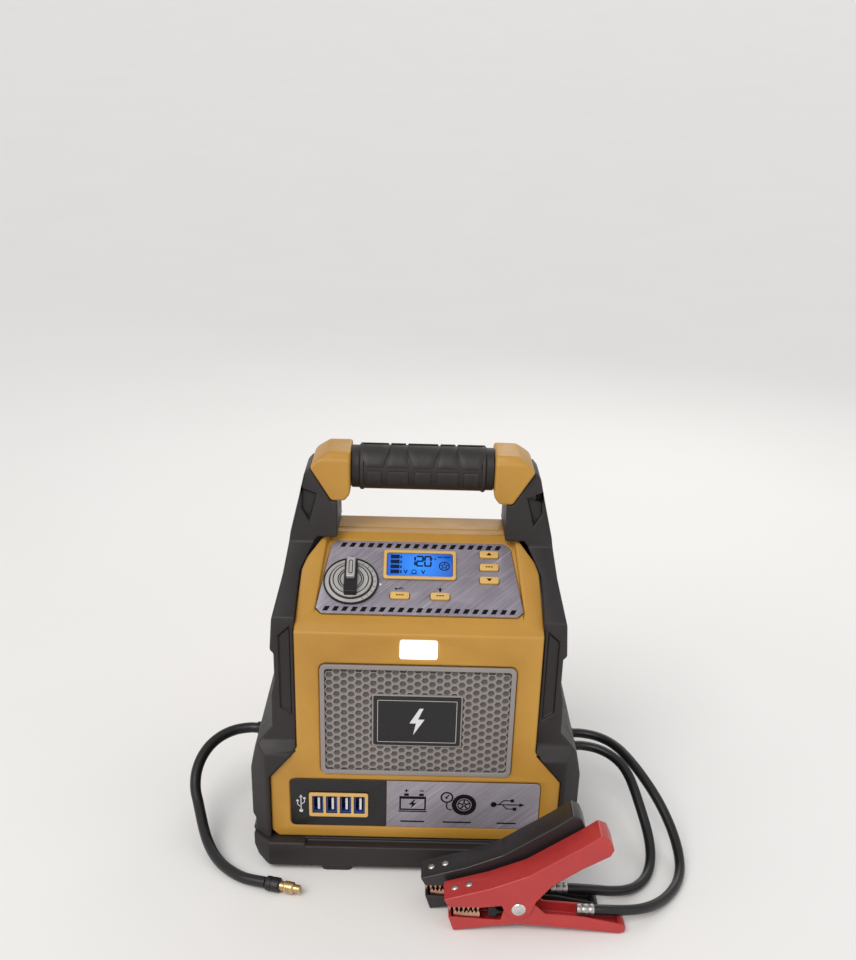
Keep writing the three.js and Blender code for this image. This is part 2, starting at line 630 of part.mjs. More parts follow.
/** Shallow panels sunk into the outer side and the front edge of a guard. */
function guardPockets() {
  const sides = [
    [-60, FLARE_HIGH_Z + 24, 60, BEND_Z - 58, NECK_HALF + 20.5],
    [-60, BEND_Z - 40, 60, BEND_Z - 26, NECK_HALF + 17.5],
    [-70, 50, -8, FLARE_LOW_Z - 4, HALF_WIDTH],
    [50, 50, 74, FLARE_LOW_Z - 4, HALF_WIDTH],
  ].map(([left, low, right, high, outer]) => alongX(
    roundedRectangle(left, low, right, high, 4, 1), outer - POCKET_DEPTH, outer + OVERCUT));
  const face = alongY([
    [NECK_HALF + 4, FLARE_HIGH_Z + 30], [NECK_HALF + 13, FLARE_HIGH_Z + 36],
    [NECK_HALF + 13, BEND_Z - 6], [NECK_HALF + 4, BEND_Z + 2],
  ], UPPER_FRONT_Y - OVERCUT, UPPER_FRONT_Y + POCKET_DEPTH);
  const arm = alongY([
    [ARM_TOP_X - 5, HANDLE_BASE_Z + 2], [ARM_TOP_X + 1, TOP_Z + 14],
    [ARM_TOP_X + 7, TOP_Z + 24], [ARM_TOP_X + 6, HANDLE_BASE_Z + 6],
  ], ARM_FRONT_Y - HALF_DEPTH, ARM_FRONT_Y + POCKET_DEPTH / 2);
  return [...sides, face, arm];
}

/** The right-hand side guard with the arm that carries the handle. */
function sideGuard() {
  const front = alongY([...guardOuter, ...guardInner], -HALF_DEPTH, HALF_DEPTH);
  const side = alongX(guardSide, 0, HALF_WIDTH + OVERCUT);
  const plan = extruded(
    planOutline(BODY_HALF_DEPTH + GUARD_FRONT_STEP, GUARD_PLAN_CHAMFER), 0, 2 * HANDLE_Z);
  const whole = front.intersect(side).intersect(plan)
    .subtract(housingForm(GAP)).subtract(handleEnd(GAP));
  return guardPockets().reduce((body, cut) => body.subtract(cut), whole);
}

/** The holes of the glands on one side, cut through a guard. */
function withCordHoles(body, side) {
  return glandPlaces.filter((place) => place[1] === side).reduce(
    (rest, [, , y, z]) => rest.subtract(glandHole(side, y, z, CORD_HOLE_RADIUS)), body);
}

const rightGuard = sideGuard();
add('right_guard', withCordHoles(rightGuard, 1), BLACK);
add('left_guard', withCordHoles(mirrored(rightGuard), -1), BLACK);

// ---------- base ----------

const baseView = [
  [-HALF_WIDTH + 1, FOOT_HEIGHT + BASE_ROUND], [-HALF_WIDTH + BASE_ROUND / 3 + 1, FOOT_HEIGHT + 4],
  [-HALF_WIDTH + BASE_ROUND + 1, FOOT_HEIGHT], [HALF_WIDTH - BASE_ROUND - 1, FOOT_HEIGHT],
  [HALF_WIDTH - BASE_ROUND / 3 - 1, FOOT_HEIGHT + 4], [HALF_WIDTH - 1, FOOT_HEIGHT + BASE_ROUND],
  [HALF_WIDTH - 1, BASE_TOP], [-HALF_WIDTH + 1, BASE_TOP],
];
const base = alongY(baseView, -HALF_DEPTH, HALF_DEPTH)
  .intersect(extruded(planOutline(HALF_DEPTH, BASE_CORNER), 0, BASE_TOP))
  .subtract(block(
    [-WIDE_HALF + 2 * BASE_WALL, FRONT_Y + BASE_WALL, FOOT_HEIGHT + BASE_FLOOR],
    [WIDE_HALF - 2 * BASE_WALL, -FRONT_Y - BASE_WALL, BASE_TOP + OVERCUT]))
  .subtract(block(
    [-FOOT_X - FOOT_WIDTH, -HALF_DEPTH - OVERCUT, BASE_TOP - BASE_CENTRE_DROP],
    [FOOT_X + FOOT_WIDTH, FRONT_Y - 1, BASE_TOP + OVERCUT]));
add('base_bumper', base, BLACK);

for (const [side, sideName] of [[-1, 'left'], [1, 'right']]) {
  for (const [end, endName] of [[-1, 'front'], [1, 'rear']]) {
    const outer = HALF_DEPTH - FOOT_INSET;
    const y = end * (outer - FOOT_DEPTH / 2);
    const shape = roundedRectangle(
      side * FOOT_X - FOOT_WIDTH / 2, y - FOOT_DEPTH / 2,
      side * FOOT_X + FOOT_WIDTH / 2, y + FOOT_DEPTH / 2, 4, 2);
    add(`${endName}_${sideName}_foot`, extruded(shape, 0, FOOT_HEIGHT - GAP), RUBBER);
  }
}

// ---------- control panel ----------

const panel = new THREE.Group();
panel.applyMatrix4(SLOPE);
group.add(panel);

const PANEL_BOTTOM = -PANEL_RECESS + GAP;
const PANEL_TOP = PANEL_BOTTOM + PANEL_THICKNESS;
const SPINDLE_REACH = SWITCH_TOP + SWITCH_DEPTH / 2;

/** A turned solid standing on the slope at the knob's place. */
function atKnob(profile, segments) {
  return moved(turned(profile, segments), placed([KNOB_X, KNOB_S, 0]));
}

const panelHoles = [
  extruded(grown(windowOutline, GAP), -OVERCUT, OVERCUT),
  atKnob(rod(SPINDLE_RADIUS + SLIDE_GAP, -OVERCUT, OVERCUT), 16),
  ...buttonPlaces.map(([, x, s]) => extruded(
    grown(buttonOutline(x, s), SLIDE_GAP), -OVERCUT, OVERCUT)),
];
const panelPlate = panelHoles.reduce(
  (body, hole) => body.subtract(hole), extruded(panelOutline, PANEL_BOTTOM, PANEL_TOP));
add('control_panel', panelPlate, BRUSHED, panel);

const RIM_BASE = PANEL_TOP + GAP;
const bezel = extruded(lcdOutline, RIM_BASE, RIM_BASE + LCD_RIM_HEIGHT)
  .subtract(extruded(grown(windowOutline, GAP), -OVERCUT, 2 * OVERCUT));
add('lcd_bezel', bezel, CREAM, panel);
add('lcd_window', extruded(windowOutline, RIM_BASE - LCD_THICKNESS, RIM_BASE + 1), BLUE, panel);

const BOARD_TOP = PANEL_BOTTOM - BOARD_BELOW;
const boardLeft = KNOB_X + DIAL_RADIUS + GAP;
const board = extruded([
  [boardLeft, BOARD_LOW], [PANEL_HALF - 2 * PANEL_LEDGE, BOARD_LOW],
  [PANEL_HALF - PANEL_TAPER - 2 * PANEL_LEDGE, BOARD_HIGH], [boardLeft, BOARD_HIGH],
], BOARD_TOP - BOARD_THICKNESS, BOARD_TOP);
add('control_board', board, GREEN, panel);

const dialRing = [
  [KNOB_RADIUS + SLIDE_GAP, RIM_BASE], [DIAL_RADIUS, RIM_BASE],
  [DIAL_RADIUS - 1, RIM_BASE + DIAL_HEIGHT], [KNOB_RADIUS + SLIDE_GAP, RIM_BASE + DIAL_HEIGHT],
  [KNOB_RADIUS + SLIDE_GAP, RIM_BASE],
];
add('switch_dial', atKnob(dialRing, 32), BLACK, panel);

const DISC_TOP = RIM_BASE + KNOB_DISC_HEIGHT;
const knobProfile = [
  [0, -SPINDLE_REACH], [SPINDLE_RADIUS, -SPINDLE_REACH], [SPINDLE_RADIUS, RIM_BASE],
  [KNOB_RADIUS, RIM_BASE], [KNOB_RADIUS, DISC_TOP], [0, DISC_TOP],
];
const bar = moved(extruded(roundedRectangle(
  -KNOB_BAR_WIDTH / 2, -KNOB_RADIUS + 2, KNOB_BAR_WIDTH / 2, KNOB_RADIUS - 1, 2, 2),
RIM_BASE + 1, RIM_BASE + KNOB_BAR_HEIGHT), placed([KNOB_X, KNOB_S, 0]));
add('switch_knob', atKnob(knobProfile, 24).add(bar), SILVER, panel);

const switchBody = moved(extruded(roundedRectangle(
  -SWITCH_SIZE / 2, -SWITCH_SIZE / 2, SWITCH_SIZE / 2, SWITCH_SIZE / 2, 3, 1),
-SWITCH_TOP - SWITCH_DEPTH, -SWITCH_TOP), placed([KNOB_X, KNOB_S, 0]))
  .subtract(atKnob(rod(SPINDLE_RADIUS + SLIDE_GAP, -SPINDLE_REACH - GAP, 0), 16));
add('battery_switch', switchBody, BLACK, panel);

for (const [name, x, s] of buttonPlaces) {
  add(name, extruded(buttonOutline(x, s), PANEL_BOTTOM - BUTTON_DEPTH / 2,
    PANEL_TOP + BUTTON_PROUD), CREAM, panel);
}

// ---------- front face ----------

const RECESS_FLOOR = FRONT_Y + FACE_RECESS - GAP;
const grilleFront = RECESS_FLOOR - GRILLE_THICKNESS;
add('grille_plate', alongY(grilleOutline, grilleFront, RECESS_FLOOR).subtract(
  alongY(grown(badgeOutline, GAP), grilleFront - OVERCUT, grilleFront + BADGE_RECESS)), GREY);
const badgeBack = grilleFront + BADGE_RECESS - GAP;
add('badge_plate', alongY(badgeOutline, badgeBack - BADGE_THICKNESS, badgeBack), BLACK);

const lensFront = FRONT_Y - 1;
add('led_lens', alongY(ledOutline, lensFront, lensFront + LENS_THICKNESS), WHITE);
const ledBoardY = lensFront + LENS_THICKNESS + GAP;
add('led_board', alongY(
  grown(ledOutline, 2), ledBoardY, ledBoardY + BOARD_THICKNESS), GREEN);

const stripPlate = alongY(stripOutline, RECESS_FLOOR - STRIP_THICKNESS, RECESS_FLOOR);
const usbHole = alongY(grown(usbOutline, GAP - MODULE_HALF_EDGE), -HALF_DEPTH, 0);
const leftOfDivider = block(
  [-HALF_WIDTH, -HALF_DEPTH, 0], [STRIP_DIVIDER_X - GAP / 2, 0, HANDLE_Z]);
const rightOfDivider = block(
  [STRIP_DIVIDER_X + GAP / 2, -HALF_DEPTH, 0], [HALF_WIDTH, 0, HANDLE_Z]);
add('usb_panel', stripPlate.intersect(leftOfDivider).subtract(usbHole), BLACK);
add('icon_label', stripPlate.intersect(rightOfDivider), BRUSHED);

const portRow = Array.from(
  { length: PORT_COUNT }, (_, i) => USB_X + (i - (PORT_COUNT - 1) / 2) * PORT_PITCH);

/** A port's rectangle with its sides moved out by a distance. */
function portOutline(x, grow) {
  const halfWidth = PORT_WIDTH / 2 + grow;
  const halfHeight = PORT_HEIGHT / 2 + grow;
  return [
    [x - halfWidth, USB_Z - halfHeight], [x + halfWidth, USB_Z - halfHeight],
    [x + halfWidth, USB_Z + halfHeight], [x - halfWidth, USB_Z + halfHeight],
  ];
}

const stripFront = RECESS_FLOOR - STRIP_THICKNESS;
const frameBack = stripFront - GAP;
const frame = portRow.reduce(
  (body, x) => body.subtract(alongY(portOutline(x, GAP), -HALF_DEPTH, 0)),
  alongY(usbOutline, frameBack - USB_FRAME_PROUD, frameBack));
add('usb_frame', frame, CREAM);

const moduleFront = stripFront;
const module = portRow.reduce(
  (body, x) => body.subtract(
    alongY(portOutline(x, 0), moduleFront - OVERCUT, moduleFront + PORT_DEPTH)),
  alongY(grown(usbOutline, -MODULE_HALF_EDGE - GAP), moduleFront,
    moduleFront + PORT_DEPTH + MODULE_BACK));
add('usb_module', module, BLUE);

// ---------- inside ----------

const floorZ = HOUSING_BOTTOM + WALL + GAP;
const chassisHalf = NECK_HALF - WALL - 2;
const chassisFront = SPLIT_Y - CHASSIS_THICKNESS;
add('chassis_plate', block(
  [-chassisHalf, chassisFront, floorZ], [chassisHalf, SPLIT_Y, BATTERY_TOP]), GREY);
const batteryHalf = chassisHalf - BATTERY_SIDE_SPACE;
const batteryFront = SPLIT_Y + 2 * GAP;
const batteryRear = BODY_HALF_DEPTH - INLET_DEPTH - BATTERY_REAR_SPACE;
add('battery', block(
  [-batteryHalf, batteryFront, floorZ],
  [batteryHalf, batteryRear, BATTERY_TOP]), BLACK);

const compressorY = chassisFront - GAP - MOTOR_RADIUS;
const motorLow = -MOTOR_LENGTH;
const motorProfile = [
  [0, motorLow - 4], [6, motorLow - 4], [6, motorLow], [MOTOR_RADIUS, motorLow],
  [MOTOR_RADIUS, -GAP], [0, -GAP],
];
add('compressor_motor', turnedAlong(
  'x', motorProfile, 20, [0, compressorY, COMPRESSOR_Z]), GREY);
const crankcase = block(
  [0, compressorY - CYLINDER_RADIUS, COMPRESSOR_Z - CYLINDER_RADIUS],
  [CYLINDER_RADIUS * 2, compressorY + CYLINDER_RADIUS, COMPRESSOR_Z + CYLINDER_RADIUS]);
const finStart = CYLINDER_RADIUS + FIN_PITCH - FIN_THICKNESS;
const finProfile = Array.from({ length: FIN_COUNT }, (_, i) => {
  const z = finStart + i * FIN_PITCH;
  return [
    [BARREL_RADIUS, z], [FIN_RADIUS, z],
    [FIN_RADIUS, z + FIN_THICKNESS], [BARREL_RADIUS, z + FIN_THICKNESS],
  ];
}).flat();
const barrelTop = finStart + FIN_COUNT * FIN_PITCH;
const barrelProfile = [
  [0, 0], [BARREL_RADIUS, 0], ...finProfile, [BARREL_RADIUS, barrelTop], [0, barrelTop],
];
const barrel = moved(
  turned(barrelProfile, 16),
  placed([CYLINDER_RADIUS, compressorY, COMPRESSOR_Z]));
add('compressor_cylinder', crankcase.add(barrel), GREY);

// ---------- charging inlet ----------

const inletFront = BODY_HALF_DEPTH - INLET_DEPTH;
const inlet = alongY(inletOutline, inletFront, BODY_HALF_DEPTH).subtract(turnedAlong(
  'y', rod(INLET_BORE, WALL - INLET_DEPTH, OVERCUT), 12, [INLET_X, BODY_HALF_DEPTH, INLET_Z]));
add('charge_inlet', inlet, BLACK);
const capFront = BODY_HALF_DEPTH + GAP;
const capOutline = grown(inletOutline, CAP_RIM);
add('charge_cap', alongY(capOutline, capFront, capFront + CAP_THICKNESS), RUBBER);

// ---------- glands, hose and cables ----------

for (const [name, side, y, z, diameter] of glandPlaces) {
  const start = WIDE_HALF - WALL - GLAND_FLANGE;
  const wallIn = WIDE_HALF - WALL - GAP;
  const wallOut = WIDE_HALF + GAP;
  const tip = WIDE_HALF + GLAND_LENGTH;
  const tipRadius = diameter / 2 + 1.2;
  const profile = [
    [0, start], [GLAND_RADIUS, start], [GLAND_RADIUS, wallIn], [GLAND_NECK, wallIn],
    [GLAND_NECK, wallOut], [GLAND_RADIUS, wallOut], [GLAND_RADIUS, wallOut + GLAND_FLANGE],
    [GLAND_NECK + 0.4, wallOut + GLAND_FLANGE + 1], [tipRadius, tip], [0, tip],
  ];
  const body = turnedAlong('x', profile, 16, [0, y, z]);
  add(name, side > 0 ? body : mirrored(body), RUBBER);
}

/** A round tube through a list of points. */
function cord(points, diameter) {
  const curve = new THREE.CatmullRomCurve3(points.map((point) => new THREE.Vector3(...point)));
  const section = new THREE.Shape(Array.from({ length: CORD_SIDES }, (_, i) => {
    const angle = (2 * Math.PI * i) / CORD_SIDES;
    return new THREE.Vector2(Math.cos(angle) * diameter / 2, Math.sin(angle) * diameter / 2);
  }));
  const steps = Math.ceil(curve.getLength() / CORD_STEP);
  return solid(new THREE.ExtrudeGeometry(section, { steps, extrudePath: curve }));
}

const POSITIVE_ROUTE = [
  [150.8, 38, 64], [157.8, 38, 64], [171.5, 35, 63.3], [183.7, 28.2, 61.7], [193.4, 18.4, 59.2],
  [200.8, 6.8, 56.1], [207.3, -5.2, 52.4], [213.4, -17.1, 48], [219.3, -28.8, 42.8],
  [224.7, -40.3, 36.9], [229.5, -51.8, 30.3], [233.4, -63.5, 23.5], [236.1, -75.6, 16.8],
  [237.1, -88.4, 11], [235.7, -101.8, 7], [231.6, -115.1, 5], [225.3, -127.7, 4.8],
  [217.4, -139.3, 5.4], [208.3, -149.9, 7], [198.1, -159.3, 9.6], [186.7, -166.9, 12.7],
  [173.9, -171.9, 15.4], [160.1, -174.1, 17], [146, -174, 17],
];
const NEGATIVE_ROUTE = [
  [150.8, 14, 64], [157.8, 14, 64], [171.5, 11, 62.8], [183.7, 4.2, 60], [193, -5.6, 55.8],
  [198.9, -17.2, 50.3], [202.6, -29.4, 44], [205.7, -41.3, 37], [208.6, -53.1, 29.7],
  [211.1, -65.1, 22.4], [212.2, -77.5, 15.6], [211.2, -90.5, 10.1], [207.6, -103.7, 6.4],
  [201.2, -116.2, 5.1], [192.2, -127.1, 5.9], [181.1, -135.6, 8.4], [168.6, -141.4, 11.7],
  [155.2, -144.5, 14.8], [141.2, -145.8, 16.7], [127, -146, 17],
];
const HOSE_ROUTE = [
  [-150.8, 22, 71], [-157.8, 22, 71], [-171, 19, 69.9], [-182.7, 12.4, 67.2], [-192.4, 2.8, 62.5],
  [-199.2, -8.8, 55.6], [-202.6, -21.3, 46.7], [-202, -33.6, 37], [-197.8, -45.6, 28.7],
  [-193.5, -58.2, 22.5], [-189, -70.6, 16.5], [-183.5, -83.1, 11.6], [-176.6, -95.2, 8],
  [-168, -106.6, 5.9], [-157.7, -116.7, 5.2], [-145.9, -125.1, 5.3], [-126, -133, 6.6],
];
add('positive_cable', cord(POSITIVE_ROUTE, CABLE_DIAMETER), RUBBER);
add('negative_cable', cord(NEGATIVE_ROUTE, CABLE_DIAMETER), RUBBER);
add('air_hose', cord(HOSE_ROUTE, HOSE_DIAMETER), RUBBER);

// the hose ends in a black collar and a brass tip, both in line with its last stretch
const hoseEnd = new THREE.Vector3(...HOSE_ROUTE.at(-1));
const hoseBearing = hoseEnd.clone().sub(new THREE.Vector3(...HOSE_ROUTE.at(-2)));
const nozzle = new THREE.Group();
nozzle.position.copy(hoseEnd);
nozzle.rotation.set(0, 0, Math.atan2(hoseBearing.y, hoseBearing.x) * 0.75);
group.add(nozzle);
const COLLAR = [[0, 0.6], [6, 0.6], [6.5, 2], [6.5, 12], [5.6, 13.2], [0, 13.2]];
const TIP = [
  [0, 13.5], [4.2, 13.5], [4.2, 17], [5.2, 18], [5.2, 25], [3.6, 26], [3.6, 31.5], [0, 31.5],
];
add('nozzle_collar', turnedAlong('x', COLLAR, 16, [0, 0, 0]), RUBBER, nozzle);
add('nozzle_tip', turnedAlong('x', TIP, 16, [0, 0, 0]), BRASS, nozzle);

// ---------- clamps ----------
// Each clamp stands on its edge. In its own frame the pin is at the origin along y, the jaws
// point to -x and the handles to +x.

const upperOuter = [
  [-61, 8.4], [-57, 1], [-30, 1], [-14, 3], [-10, -5], [-3, -9], [4, -9], [10, -4], [14, 8],
  [26, 24], [49, 41], [70, 54], [72.5, 60], [68, 70], [61, 73], [48, 62.5], [29, 49], [6, 33],
  [-24, 20],
];
const upperPocket = [
  [-58.5, -40], [67, -40], [67, 66], [61, 70], [48.5, 59.6], [29, 46.1], [7, 30.6], [-23, 17.6],
  [-58.5, 6.9],
];
const lowerOuter = [
  [-57, -10.6], [-52.5, -24.4], [-20, -19], [0, -16.6], [38, -19.5], [84, -24.4], [89, -22.5],
  [89.5, -18], [86, -15], [54, -8.5], [22, -6], [13, 3], [7, 7.5], [-5, 7.5], [-11, 1],
  [-14, -13], [-30, -12],
];
const lowerPocket = [
  [-54, -13.6], [-50.8, -21.8], [-20, -16.6], [0, -14.2], [38, -17.1], [83, -21.8], [84, 40],
  [-54, 40],
];

/** The saw-toothed outline of a jaw liner, toothed on its lower or its upper edge. */
function linerOutline(left, right, back, root, tip) {
  const pitch = (right - left) / JAW_TEETH;
  const teeth = Array.from({ length: JAW_TEETH }, (_, i) => [
    [left + i * pitch, root], [left + (i + 0.5) * pitch, tip],
  ]).flat();
  return [...teeth, [right, root], [right, back], [left, back]];
}

/** The six pieces of a clamp in a group of their own. */
function clamp(prefix, material, position) {
  const holder = new THREE.Group();
  holder.position.set(...position);
  group.add(holder);
  const pinHole = turnedAlong(
    'y', rod(PIN_RADIUS + GAP, -2 * CLAMP_HALF_WIDTH, 2 * CLAMP_HALF_WIDTH), 16, [0, 0, 0]);
  const inner = CLAMP_HALF_WIDTH - CLAMP_SHEET;
  const lowerHalf = inner - GAP;
  const lowerInner = lowerHalf - CLAMP_SHEET;
  const upper = alongY(upperOuter, -CLAMP_HALF_WIDTH, CLAMP_HALF_WIDTH)
    .subtract(alongY(upperPocket, -inner, inner)).subtract(pinHole);
  const lower = alongY(lowerOuter, -lowerHalf, lowerHalf)
    .subtract(alongY(lowerPocket, -lowerInner, lowerInner)).subtract(pinHole);
  add(`${prefix}_upper_arm`, upper, material, holder);
  add(`${prefix}_lower_arm`, lower, material, holder);

  const head = CLAMP_HALF_WIDTH + GAP;
  const reach = head + 1.5;
  add(`${prefix}_pin`, turnedAlong('y', [
    [0, -reach], [PIN_HEAD - 1, -reach], [PIN_HEAD, -head], [PIN_RADIUS, -head],
    [PIN_RADIUS, head], [PIN_HEAD, head], [PIN_HEAD - 1, reach], [0, reach],
  ], 16, [0, 0, 0]), SILVER, holder);
  const coil = lowerInner - GAP;
  const coilInner = PIN_RADIUS + GAP;
  add(`${prefix}_spring`, turnedAlong('y', [
    [coilInner, -coil], [coilInner + 2.5, -coil], [coilInner + 2.5, coil], [coilInner, coil],
    [coilInner, -coil],
  ], 16, [0, 0, 0]), GREY, holder);

  const mouth = -4.8;
  const upperLiner = alongY(
    linerOutline(-58, -31, 5.5, 2, mouth + GAP), -inner + GAP, inner - GAP);
  const lowerLiner = alongY(
    linerOutline(-52.6, -31, -15, -8, mouth - GAP).reverse(), -lowerInner + GAP, lowerInner - GAP);
  add(`${prefix}_upper_jaw`, upperLiner, COPPER, holder);
  add(`${prefix}_lower_jaw`, lowerLiner, COPPER, holder);
}

clamp('positive', RED, [86, -174, 25]);
clamp('negative', BLACK, [67, -146, 25]);

export default group;
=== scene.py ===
"""The looks of a portable jump starter pack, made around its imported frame.

Metres, +Z up, the front faces -Y. Every piece is built in place and rides on a body of the frame.
"""

import json
import logging
import math
from dataclasses import dataclass, field
from enum import Enum
from typing import Callable, Iterable, Sequence, Union

import bmesh
import bpy
from mathutils import Matrix, Vector

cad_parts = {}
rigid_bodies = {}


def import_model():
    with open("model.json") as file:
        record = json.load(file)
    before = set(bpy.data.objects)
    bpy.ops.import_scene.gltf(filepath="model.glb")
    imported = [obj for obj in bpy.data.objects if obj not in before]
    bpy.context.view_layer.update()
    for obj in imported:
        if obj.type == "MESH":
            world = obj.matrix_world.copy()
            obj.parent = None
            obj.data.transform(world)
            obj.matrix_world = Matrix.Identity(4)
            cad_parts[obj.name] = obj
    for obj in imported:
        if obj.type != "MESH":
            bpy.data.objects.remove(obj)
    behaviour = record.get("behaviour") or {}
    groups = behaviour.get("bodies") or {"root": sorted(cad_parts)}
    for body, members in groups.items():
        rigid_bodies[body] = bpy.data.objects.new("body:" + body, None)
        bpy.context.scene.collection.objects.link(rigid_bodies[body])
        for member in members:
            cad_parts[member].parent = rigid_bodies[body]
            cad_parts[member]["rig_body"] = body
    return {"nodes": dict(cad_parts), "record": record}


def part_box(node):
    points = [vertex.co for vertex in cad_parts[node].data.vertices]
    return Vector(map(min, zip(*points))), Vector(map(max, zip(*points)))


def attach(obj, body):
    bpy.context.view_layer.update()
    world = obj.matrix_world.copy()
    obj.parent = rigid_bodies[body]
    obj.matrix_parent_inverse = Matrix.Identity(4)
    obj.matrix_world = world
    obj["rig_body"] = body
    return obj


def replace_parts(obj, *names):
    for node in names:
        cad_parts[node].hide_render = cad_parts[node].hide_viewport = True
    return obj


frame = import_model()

LOG = logging.getLogger("jump_starter")
MM = 0.001
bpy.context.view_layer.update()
Point = Sequence[float]
Colour = tuple[float, float, float]
Value = Union["Wire", float, Sequence[float]]


# ---------------------------------------------------------------- node trees


class Wire:
    """An output socket, on which sums are written as plain expressions."""

    def __init__(self, recipe: "Recipe", socket: bpy.types.NodeSocket) -> None:
        """Keeps the socket and the recipe it belongs to."""
        self.recipe = recipe
        self.socket = socket

    def _sum(self, operation: str, first: Value, second: Value) -> "Wire":
        """A Math node of an operation.

        Args:
            operation: the Math node's operation.
            first: its first value.
            second: its second value.

        Returns:
            The node's result.
        """
        return self.recipe.node("ShaderNodeMath", {"operation": operation}, {0: first, 1: second})

    def __add__(self, other: Value) -> "Wire":
        """Self plus other."""
        return self._sum("ADD", self, other)

    def __radd__(self, other: Value) -> "Wire":
        """Other plus self."""
        return self._sum("ADD", other, self)

    def __sub__(self, other: Value) -> "Wire":
        """Self minus other."""
        return self._sum("SUBTRACT", self, other)

    def __rsub__(self, other: Value) -> "Wire":
        """Other minus self."""
        return self._sum("SUBTRACT", other, self)

    def __mul__(self, other: Value) -> "Wire":
        """Self times other."""
        return self._sum("MULTIPLY", self, other)

    def __rmul__(self, other: Value) -> "Wire":
        """Other times self."""
        return self._sum("MULTIPLY", other, self)


class Recipe:
    """The node tree of one finish."""

    def __init__(self, name: str) -> None:
        """Starts a material with its Principled shader."""
        self.material = bpy.data.materials.new(name)
        self.material.use_nodes = True
        self.tree = self.material.node_tree
        self.shader = self.tree.nodes["Principled BSDF"]

    def node(self, kind: str, settings: dict | None = None, inputs: dict | None = None,
             output: int | str = 0) -> Wire:
        """Adds one node: its settings first, then the values or links of its sockets.

        Args:
            kind: the node's type.
            settings: its properties, and "stops" for a ramp's positions and colours.
            inputs: socket name or number to a value or a wire.
            output: the name or number of the output wanted.

        Returns:
            A wire from that output.
        """
        made = self.tree.nodes.new(kind)
        for key, value in (settings or {}).items():
            if key == "stops":
                ramp = made.color_ramp.elements
                while len(ramp) < len(value):
                    ramp.new(0.5)
                for element, (position, colour) in zip(ramp, value):
                    element.position, element.color = position, (*colour, 1.0)
            else:
                setattr(made, key, value)
        for key, value in (inputs or {}).items():
            self.join(made.inputs[key], value)
        return Wire(self, made.outputs[output])

    def join(self, socket: bpy.types.NodeSocket, value: Value) -> None:
        """Gives a socket a wire or a plain value."""
        if isinstance(value, Wire):
            self.tree.links.new(value.socket, socket)
        elif hasattr(value, "__len__") and len(value) == 3 and socket.type == "RGBA":
            socket.default_value = (*value, 1.0)
        else:
            socket.default_value = value

    def place(self) -> Wire:
        """Where a point of the piece is, in metres."""
        return self.node("ShaderNodeTexCoord", output="Object")

    def noise(self, place: Wire, scale: float, detail: float = 3.0, rough: float = 0.5) -> Wire:
        """Cloudy noise from 0 to 1 at a number of clouds for each metre."""
        return self.node("ShaderNodeTexNoise", {},
                         {"Vector": place, "Scale": scale, "Detail": detail, "Roughness": rough})

    def mix(self, factor: Value, first: Value, second: Value) -> Wire:
        """Two colours mixed by a factor."""
        return self.node("ShaderNodeMix", {"data_type": "RGBA"},
                         {0: factor, 6: first, 7: second}, output=2)

    def span(self, value: Wire, low: float, high: float, start: float = 0.0,
             end: float = 1.0) -> Wire:
        """A value's range low to high spread to start to end, and held there."""
        return self.node("ShaderNodeMapRange", {}, {
            "Value": value, "From Min": low, "From Max": high, "To Min": start, "To Max": end})

    def along(self, place: Wire, direction: Point) -> Wire:
        """How far a point is along a direction."""
        return self.node("ShaderNodeVectorMath", {"operation": "DOT_PRODUCT"},
                         {0: place, 1: tuple(direction)}, output="Value")

    def vector(self, x: Value, y: Value, z: Value = 0.0) -> Wire:
        """A vector from three numbers."""
        return self.node("ShaderNodeCombineXYZ", {}, {0: x, 1: y, 2: z})

    def edges(self, low: float = 0.515, high: float = 0.6) -> Wire:
        """1 on outer edges and 0 elsewhere."""
        bend = self.node("ShaderNodeNewGeometry", output="Pointiness")
        return self.span(bend, low, high)

    def bump(self, height: Wire, distance: float, strength: float = 1.0,
             below: Wire | None = None) -> Wire:
        """A bumped normal, on top of another if there is one."""
        inputs = {"Height": height, "Distance": distance, "Strength": strength}
        if below is not None:
            inputs["Normal"] = below
        return self.node("ShaderNodeBump", {}, inputs)

    def finish(self, **sockets: Value) -> bpy.types.Material:
        """Sets the shader's sockets, named with _ for each space, and returns the material."""
        for name, value in sockets.items():
            self.join(self.shader.inputs[name.replace("_", " ")], value)
        return self.material


@dataclass(frozen=True)
class Moulded:
    """Moulded plastic or rubber: fine grain, faint clouds, paler rubbed edges."""

    name: str
    colour: Colour
    shade: Colour
    rubbed: Colour
    roughness: float = 0.45
    grain: float = 900.0
    relief: float = 0.00006
    wear: float = 0.5
    coat: float = 0.0
    metallic: float = 0.0
    gloss: float = 0.5

    def make(self) -> bpy.types.Material:
        """Builds the material."""
        r = Recipe(self.name)
        place = r.place()
        cloud = r.noise(place, 9.0, 4.0)
        patch = r.noise(place, 55.0, 3.0, 0.6)
        grain = r.noise(place, self.grain, 2.0, 0.6)
        pits = r.node("ShaderNodeTexVoronoi", {"feature": "SMOOTH_F1"},
                      {"Vector": place, "Scale": self.grain * 0.6})
        rub = r.edges() * r.span(patch, 0.35, 0.7) * self.wear
        base = r.mix(r.span(cloud + patch * 0.5, 0.45, 1.05), self.colour, self.shade)
        speckled = r.mix(r.span(grain, 0.35, 0.75, 0.0, 0.22), base, self.shade)
        dull = r.span(patch + grain * 0.4, 0.4, 1.0, self.roughness - 0.07, self.roughness + 0.1)
        lower = r.bump(cloud, 0.0006, 0.15)
        normal = r.bump(grain * 0.6 + pits * 0.5, self.relief, 0.75, lower)
        return r.finish(Base_Color=r.mix(rub, speckled, self.rubbed), Roughness=dull,
                        Metallic=self.metallic, Coat_Weight=self.coat,
                        Specular_IOR_Level=self.gloss, Normal=normal)


